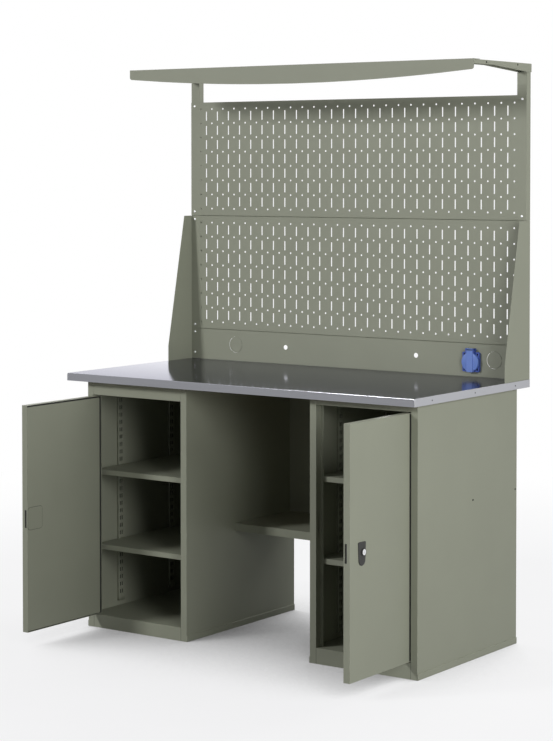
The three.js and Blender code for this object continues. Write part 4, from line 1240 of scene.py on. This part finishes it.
class BENCH_OT_base_strips(bpy.types.Operator):
    """Makes the foot strip under each stand, and the strip along the foot of each pedestal's sides"""

    bl_idname = "bench.base_strips"
    bl_label = "Base strips"

    def execute(self, context):
        height = sizes().base_height
        top = corners("worktop_sheet")[1][2] + STAND_FOOT_LIFT
        for side in SIDES:
            low, high = corners(f"{side}_stand")
            y0, y1 = low[1] + STAND_FOOT_END, high[1] - STAND_FOOT_END
            outer, way = (low[0], 1) if side == "left" else (high[0], -1)
            ends = sorted((outer, outer + way * (STAND_SHEET + STAND_FOOT_LAP)))
            profile = np.array([
                (y0, top),
                (y0, top + STAND_FOOT_HEIGHT),
                (y1, top + STAND_FOOT_HEIGHT),
                (y1, top),
            ])
            points, faces = carried_profile(profile, *ends)
            add_piece(f"{side}_stand_foot", points, faces, "bench", "paint")
        for side in SIDES:
            for place in ("outer", "inner"):
                low, high = corners(f"{side}_{place}_side")
                out = "-x" if (side == "left") == (place == "outer") else "+x"
                face = low[0] if out == "-x" else high[0]
                outline = rounded_rectangle(high[1] - low[1], height, BASE_CORNER)
                origin = (face, (low[1] + high[1]) / 2, low[2] + BASE_LIFT + height / 2)
                rows = in_metres(BASE_ROWS)
                raised_plate(f"{side}_{place}_base_strip", outline, rows, origin, out, "bench", "paint")
        return {"FINISHED"}


# Door stop lips and plinth seams


STILE = 24.15 * MM  # from a pedestal's side to the seam beside its plinth
STOP_FACE = 25.5 * MM  # from a pedestal's front to the face of its door stops
LIP_DEPTH = 3.9 * MM
LIP_ROWS = ((0, 0), (0, 0.5), (0.3, 0.8))
LIP_CORNER = 0.2 * MM
LIP_END = 0.3 * MM  # from the floor and the lintel
SEAM_WIDTH = 1.1 * MM
SEAM_ROWS = ((0, 0), (0.1, 0.1))
SEAM_CORNER = 0.1 * MM


class BENCH_OT_opening_trims(bpy.types.Operator):
    """Makes the turned lips of the door stops, and the dark seams on both sides of the plinths"""

    bl_idname = "bench.opening_trims"
    bl_label = "Opening trims"

    def execute(self, context):
        for side in SIDES:
            floor = corners(f"{side}_floor_pan")[1][2]
            lintel = corners(f"{side}_top_pan")[0][2]
            for place in ("outer", "inner"):
                low, high = corners(f"{side}_{place}_side")
                inward = 1 if (side == "left") == (place == "outer") else -1
                face, edge, out = (low[0], high[0], "+x") if inward > 0 else (high[0], low[0], "-x")
                y = (low[1] + STOP_FACE, low[1] + STOP_FACE + LIP_DEPTH)
                z = (floor + LIP_END, lintel - LIP_END)
                lip = f"{side}_{place}_stop_lip"
                upright_plate(lip, edge, y, z, LIP_ROWS, LIP_CORNER, out, "bench", "paint")
                outline = rounded_rectangle(SEAM_WIDTH, floor - low[2], SEAM_CORNER)
                origin = (face + inward * STILE, low[1], (floor + low[2]) / 2)
                rows = in_metres(SEAM_ROWS)
                raised_plate(f"{side}_{place}_plinth_seam", outline, rows, origin, "-y", "bench", "black")
        return {"FINISHED"}


# Finishes of the solids that show as they are


CARRIED_FINISHES = {
    "socket_band": "paint",
    "left_post_joiner": "paint",
    "right_post_joiner": "paint",
    "worktop_core": "board",
    "socket_insert": "black",
    "socket_lid_pin": "bolt",
    **{f"{side}_door_{place}_pin": "bolt" for side in SIDES for place in ("upper", "lower")},
    **{f"{side}_lock_case": "bolt" for side in SIDES},
    **{f"{side}_lock_bolt": "bolt" for side in SIDES},
}


class BENCH_OT_carried_finishes(bpy.types.Operator):
    """Gives each solid that shows as it is its own finish"""

    bl_idname = "bench.carried_finishes"
    bl_label = "Finishes of the solids"

    def execute(self, context):
        for node_name, finish_name in CARRIED_FINISHES.items():
            mesh = frame["nodes"][node_name].data
            mesh.materials.clear()
            mesh.materials.append(finish(finish_name))
        return {"FINISHED"}


# Stage


# Metres and degrees, the lens and the sensor in millimetres, the shift in shares of the frame's longer side
CAMERA_PLACE = (4.00236, -5.50689, 1.56562)
CAMERA_YAW = 35.26114
CAMERA_PITCH = -1.9
CAMERA_LENS = 100.29618
CAMERA_SHIFT = (-0.0235, -0.17885)
SENSOR = 36
FLOOR_RADIUS = 30
FLOOR_RINGS = 24
FLOOR_PATCH_MM = 400
FLOOR_MOTTLE = 0.004
FLOOR_FADE = (1.6, 4.0)  # where the fade to white starts and ends
FLOOR_BOUNCE = "#6c6c6c"  # as it lights the bench
FLOOR_SHADE_REACH = 1.2
FLOOR_SHADE_SAMPLES = 12
FLOOR_OPEN = (0.15, 0.6)  # openness of the room above, where the floor is black and where it is pale
FLOOR_GLOW = 0.93
DOME_LIGHT = 0.05
WHITE = (1.0, 1.0, 1.0, 1.0)
# Each lamp's place and aim in metres, its width and height in metres, and its power in watts.
# left_rear brightens what the worktop's left end mirrors.
LAMPS = {
    "right_side": ((3.6, 0.3, 2.1), (0.0, 0.0, 1.2), (2.0, 2.0), 34),
    "right_front": ((4.5, -2.2, 0.95), (0.0, 0.0, 0.7), (2.3, 1.6), 68),
    "right_high": ((4.2, -2.8, 2.4), (0.0, 0.0, 1.0), (1.6, 1.6), 62),
    "left_front": ((-2.7, -4.7, 3.35), (0.0, 0.4, 1.2), (0.9, 0.9), 156),
    "rear": ((0.4, 3.4, 3.6), (0.0, 0.0, 0.9), (2.0, 2.0), 95),
    "left_side": ((-3.8, 1.3, 2.2), (0.0, 0.2, 0.8), (2.0, 2.0), 60),
    "left_rear": ((-4.8, 5.4, 1.5), (-0.6, 0.0, 0.87), (2.6, 2.0), 10),
}


def shown_ray(tree):
    """1 for a ray from the camera, off a gloss or through glass, and 0 for one that lights."""
    path = node(tree, "ShaderNodeLightPath")
    either = node(
        tree,
        "ShaderNodeMath",
        {0: path.outputs["Is Camera Ray"], 1: path.outputs["Is Glossy Ray"]},
        operation="MAXIMUM",
    )
    shown = node(
        tree,
        "ShaderNodeMath",
        {0: either.outputs["Value"], 1: path.outputs["Is Transmission Ray"]},
        operation="MAXIMUM",
    )
    return shown.outputs["Value"]


def pale_floor():
    # A matt painted studio floor. What the camera sees is nearly white, darkened where the bench closes off
    # the room above it, and it fades to the white backdrop away from the bench.
    material, tree = new_material("matt_studio_floor")
    place = node(tree, "ShaderNodeTexCoord").outputs["Object"]
    colour, _ = mottled(tree, place, FLOOR_PATCH_MM, colours().floor, FLOOR_MOTTLE)
    open_room = node(
        tree,
        "ShaderNodeAmbientOcclusion",
        Distance=FLOOR_SHADE_REACH,
        samples=FLOOR_SHADE_SAMPLES,
    )
    shade = node(
        tree,
        "ShaderNodeMapRange",
        {"Value": open_room.outputs["AO"]},
        From_Min=FLOOR_OPEN[0],
        From_Max=FLOOR_OPEN[1],
        To_Max=FLOOR_GLOW,
    )
    glow = node(tree, "ShaderNodeEmission", {"Color": colour, "Strength": shade.outputs["Result"]})
    matt = node(tree, "ShaderNodeBsdfDiffuse", Color=rgba(linear(FLOOR_BOUNCE), 1))
    near = node(tree, "ShaderNodeAddShader", {0: glow.outputs["Emission"], 1: matt.outputs["BSDF"]})
    white = node(tree, "ShaderNodeEmission", Color=WHITE, Strength=1.0)
    distance = node(tree, "ShaderNodeVectorMath", {0: place}, operation="LENGTH")
    fade = node(
        tree,
        "ShaderNodeMapRange",
        {"Value": distance.outputs["Value"]},
        interpolation_type="SMOOTHSTEP",
        From_Min=FLOOR_FADE[0],
        From_Max=FLOOR_FADE[1],
    )
    seen = node(
        tree,
        "ShaderNodeMixShader",
        {0: fade.outputs["Result"], 1: near.outputs["Shader"], 2: white.outputs["Emission"]},
    )
    mix = node(
        tree,
        "ShaderNodeMixShader",
        {0: shown_ray(tree), 1: matt.outputs["BSDF"], 2: seen.outputs["Shader"]},
    )
    node(tree, "ShaderNodeOutputMaterial", {"Surface": mix.outputs["Shader"]})
    return material


def light_world():
    """A weak even dome lights the bench, and the camera, gloss and glass see plain white."""
    world = bpy.data.worlds.new("studio dome")
    bpy.context.scene.world = world
    world.use_nodes = True
    tree = world.node_tree
    tree.nodes.clear()
    dome = node(tree, "ShaderNodeBackground", Color=WHITE, Strength=DOME_LIGHT)
    white = node(tree, "ShaderNodeBackground", Color=WHITE, Strength=1.0)
    mix = node(
        tree,
        "ShaderNodeMixShader",
        {0: shown_ray(tree), 1: dome.outputs["Background"], 2: white.outputs["Background"]},
    )
    node(tree, "ShaderNodeOutputWorld", {"Surface": mix.outputs["Shader"]})


class BENCH_OT_stage(bpy.types.Operator):
    """Makes the floor, the light and the camera"""

    bl_idname = "bench.stage"
    bl_label = "Stage"

    def execute(self, context):
        self.floor()
        light_world()
        for name, settings in LAMPS.items():
            self.lamp(name, *settings)
        self.camera()
        context.scene.view_settings.view_transform = "Standard"
        return {"FINISHED"}

    def floor(self):
        """A disc of rings whose radius grows with the square of the ring's number."""
        radii = FLOOR_RADIUS * (np.arange(1, FLOOR_RINGS + 1) / FLOOR_RINGS) ** 2
        angles = np.arange(ROUND_STEPS) * (2 * math.pi / ROUND_STEPS)
        ways = np.column_stack([np.cos(angles), np.sin(angles), np.zeros(ROUND_STEPS)])
        points, faces = stacked_rings([radius * ways for radius in radii[::-1]])
        mesh = bpy.data.meshes.new("floor")
        mesh.from_pydata(points.tolist(), [], faces[:-1])
        mesh.materials.append(pale_floor())
        floor = bpy.data.objects.new("floor", mesh)
        bpy.context.scene.collection.objects.link(floor)

    def lamp(self, name, place, aim, size, power):
        """A rectangular soft box at a place, turned towards its aim."""
        data = bpy.data.lights.new(name, "AREA")
        data.shape = "RECTANGLE"
        data.size, data.size_y = size
        data.energy = power
        lamp = bpy.data.objects.new(name, data)
        lamp.location = place
        lamp.rotation_euler = (Vector(aim) - Vector(place)).to_track_quat("-Z", "Y").to_euler()
        bpy.context.scene.collection.objects.link(lamp)

    def camera(self):
        """A camera turned by its yaw and pitch, with its frame shifted onto the bench."""
        data = bpy.data.cameras.new("camera")
        data.sensor_fit = "AUTO"
        data.sensor_width = SENSOR
        data.lens = CAMERA_LENS
        data.shift_x, data.shift_y = CAMERA_SHIFT
        camera = bpy.data.objects.new("camera", data)
        camera.location = CAMERA_PLACE
        camera.rotation_euler = (math.radians(90 + CAMERA_PITCH), 0, math.radians(CAMERA_YAW))
        bpy.context.scene.collection.objects.link(camera)
        bpy.context.scene.camera = camera


class BENCH_PT_panel(bpy.types.Panel):
    """Lists the bench's sizes, colours and steps."""

    bl_idname = "BENCH_PT_panel"
    bl_label = "Workshop bench"
    bl_space_type = "VIEW_3D"
    bl_region_type = "UI"
    bl_category = "Bench"

    def draw(self, context):
        layout = self.layout
        for group in (context.scene.bench_sizes, context.scene.bench_colours):
            for name in group.__annotations__:
                layout.prop(group, name)
        for operator in OPERATORS:
            layout.operator(operator.bl_idname)


OPERATORS = (
    BENCH_OT_stage,
    BENCH_OT_perforated_panels,
    BENCH_OT_shelf_strips,
    BENCH_OT_folded_sheets,
    BENCH_OT_worktop,
    BENCH_OT_door_liners,
    BENCH_OT_locks,
    BENCH_OT_socket,
    BENCH_OT_screen_joints,
    BENCH_OT_base_strips,
    BENCH_OT_opening_trims,
    BENCH_OT_screws,
    BENCH_OT_carried_finishes,
)
CLASSES = (BenchSizes, BenchColours, *OPERATORS, BENCH_PT_panel)


def register():
    for cls in CLASSES:
        bpy.utils.register_class(cls)
    bpy.types.Scene.bench_sizes = bpy.props.PointerProperty(type=BenchSizes)
    bpy.types.Scene.bench_colours = bpy.props.PointerProperty(type=BenchColours)


def unregister():
    del bpy.types.Scene.bench_colours
    del bpy.types.Scene.bench_sizes
    for cls in reversed(CLASSES):
        bpy.utils.unregister_class(cls)


def main():
    register()
    for operator in OPERATORS:
        group, name = operator.bl_idname.split(".")
        getattr(getattr(bpy.ops, group), name)()


if __name__ == "__main__":
    main()
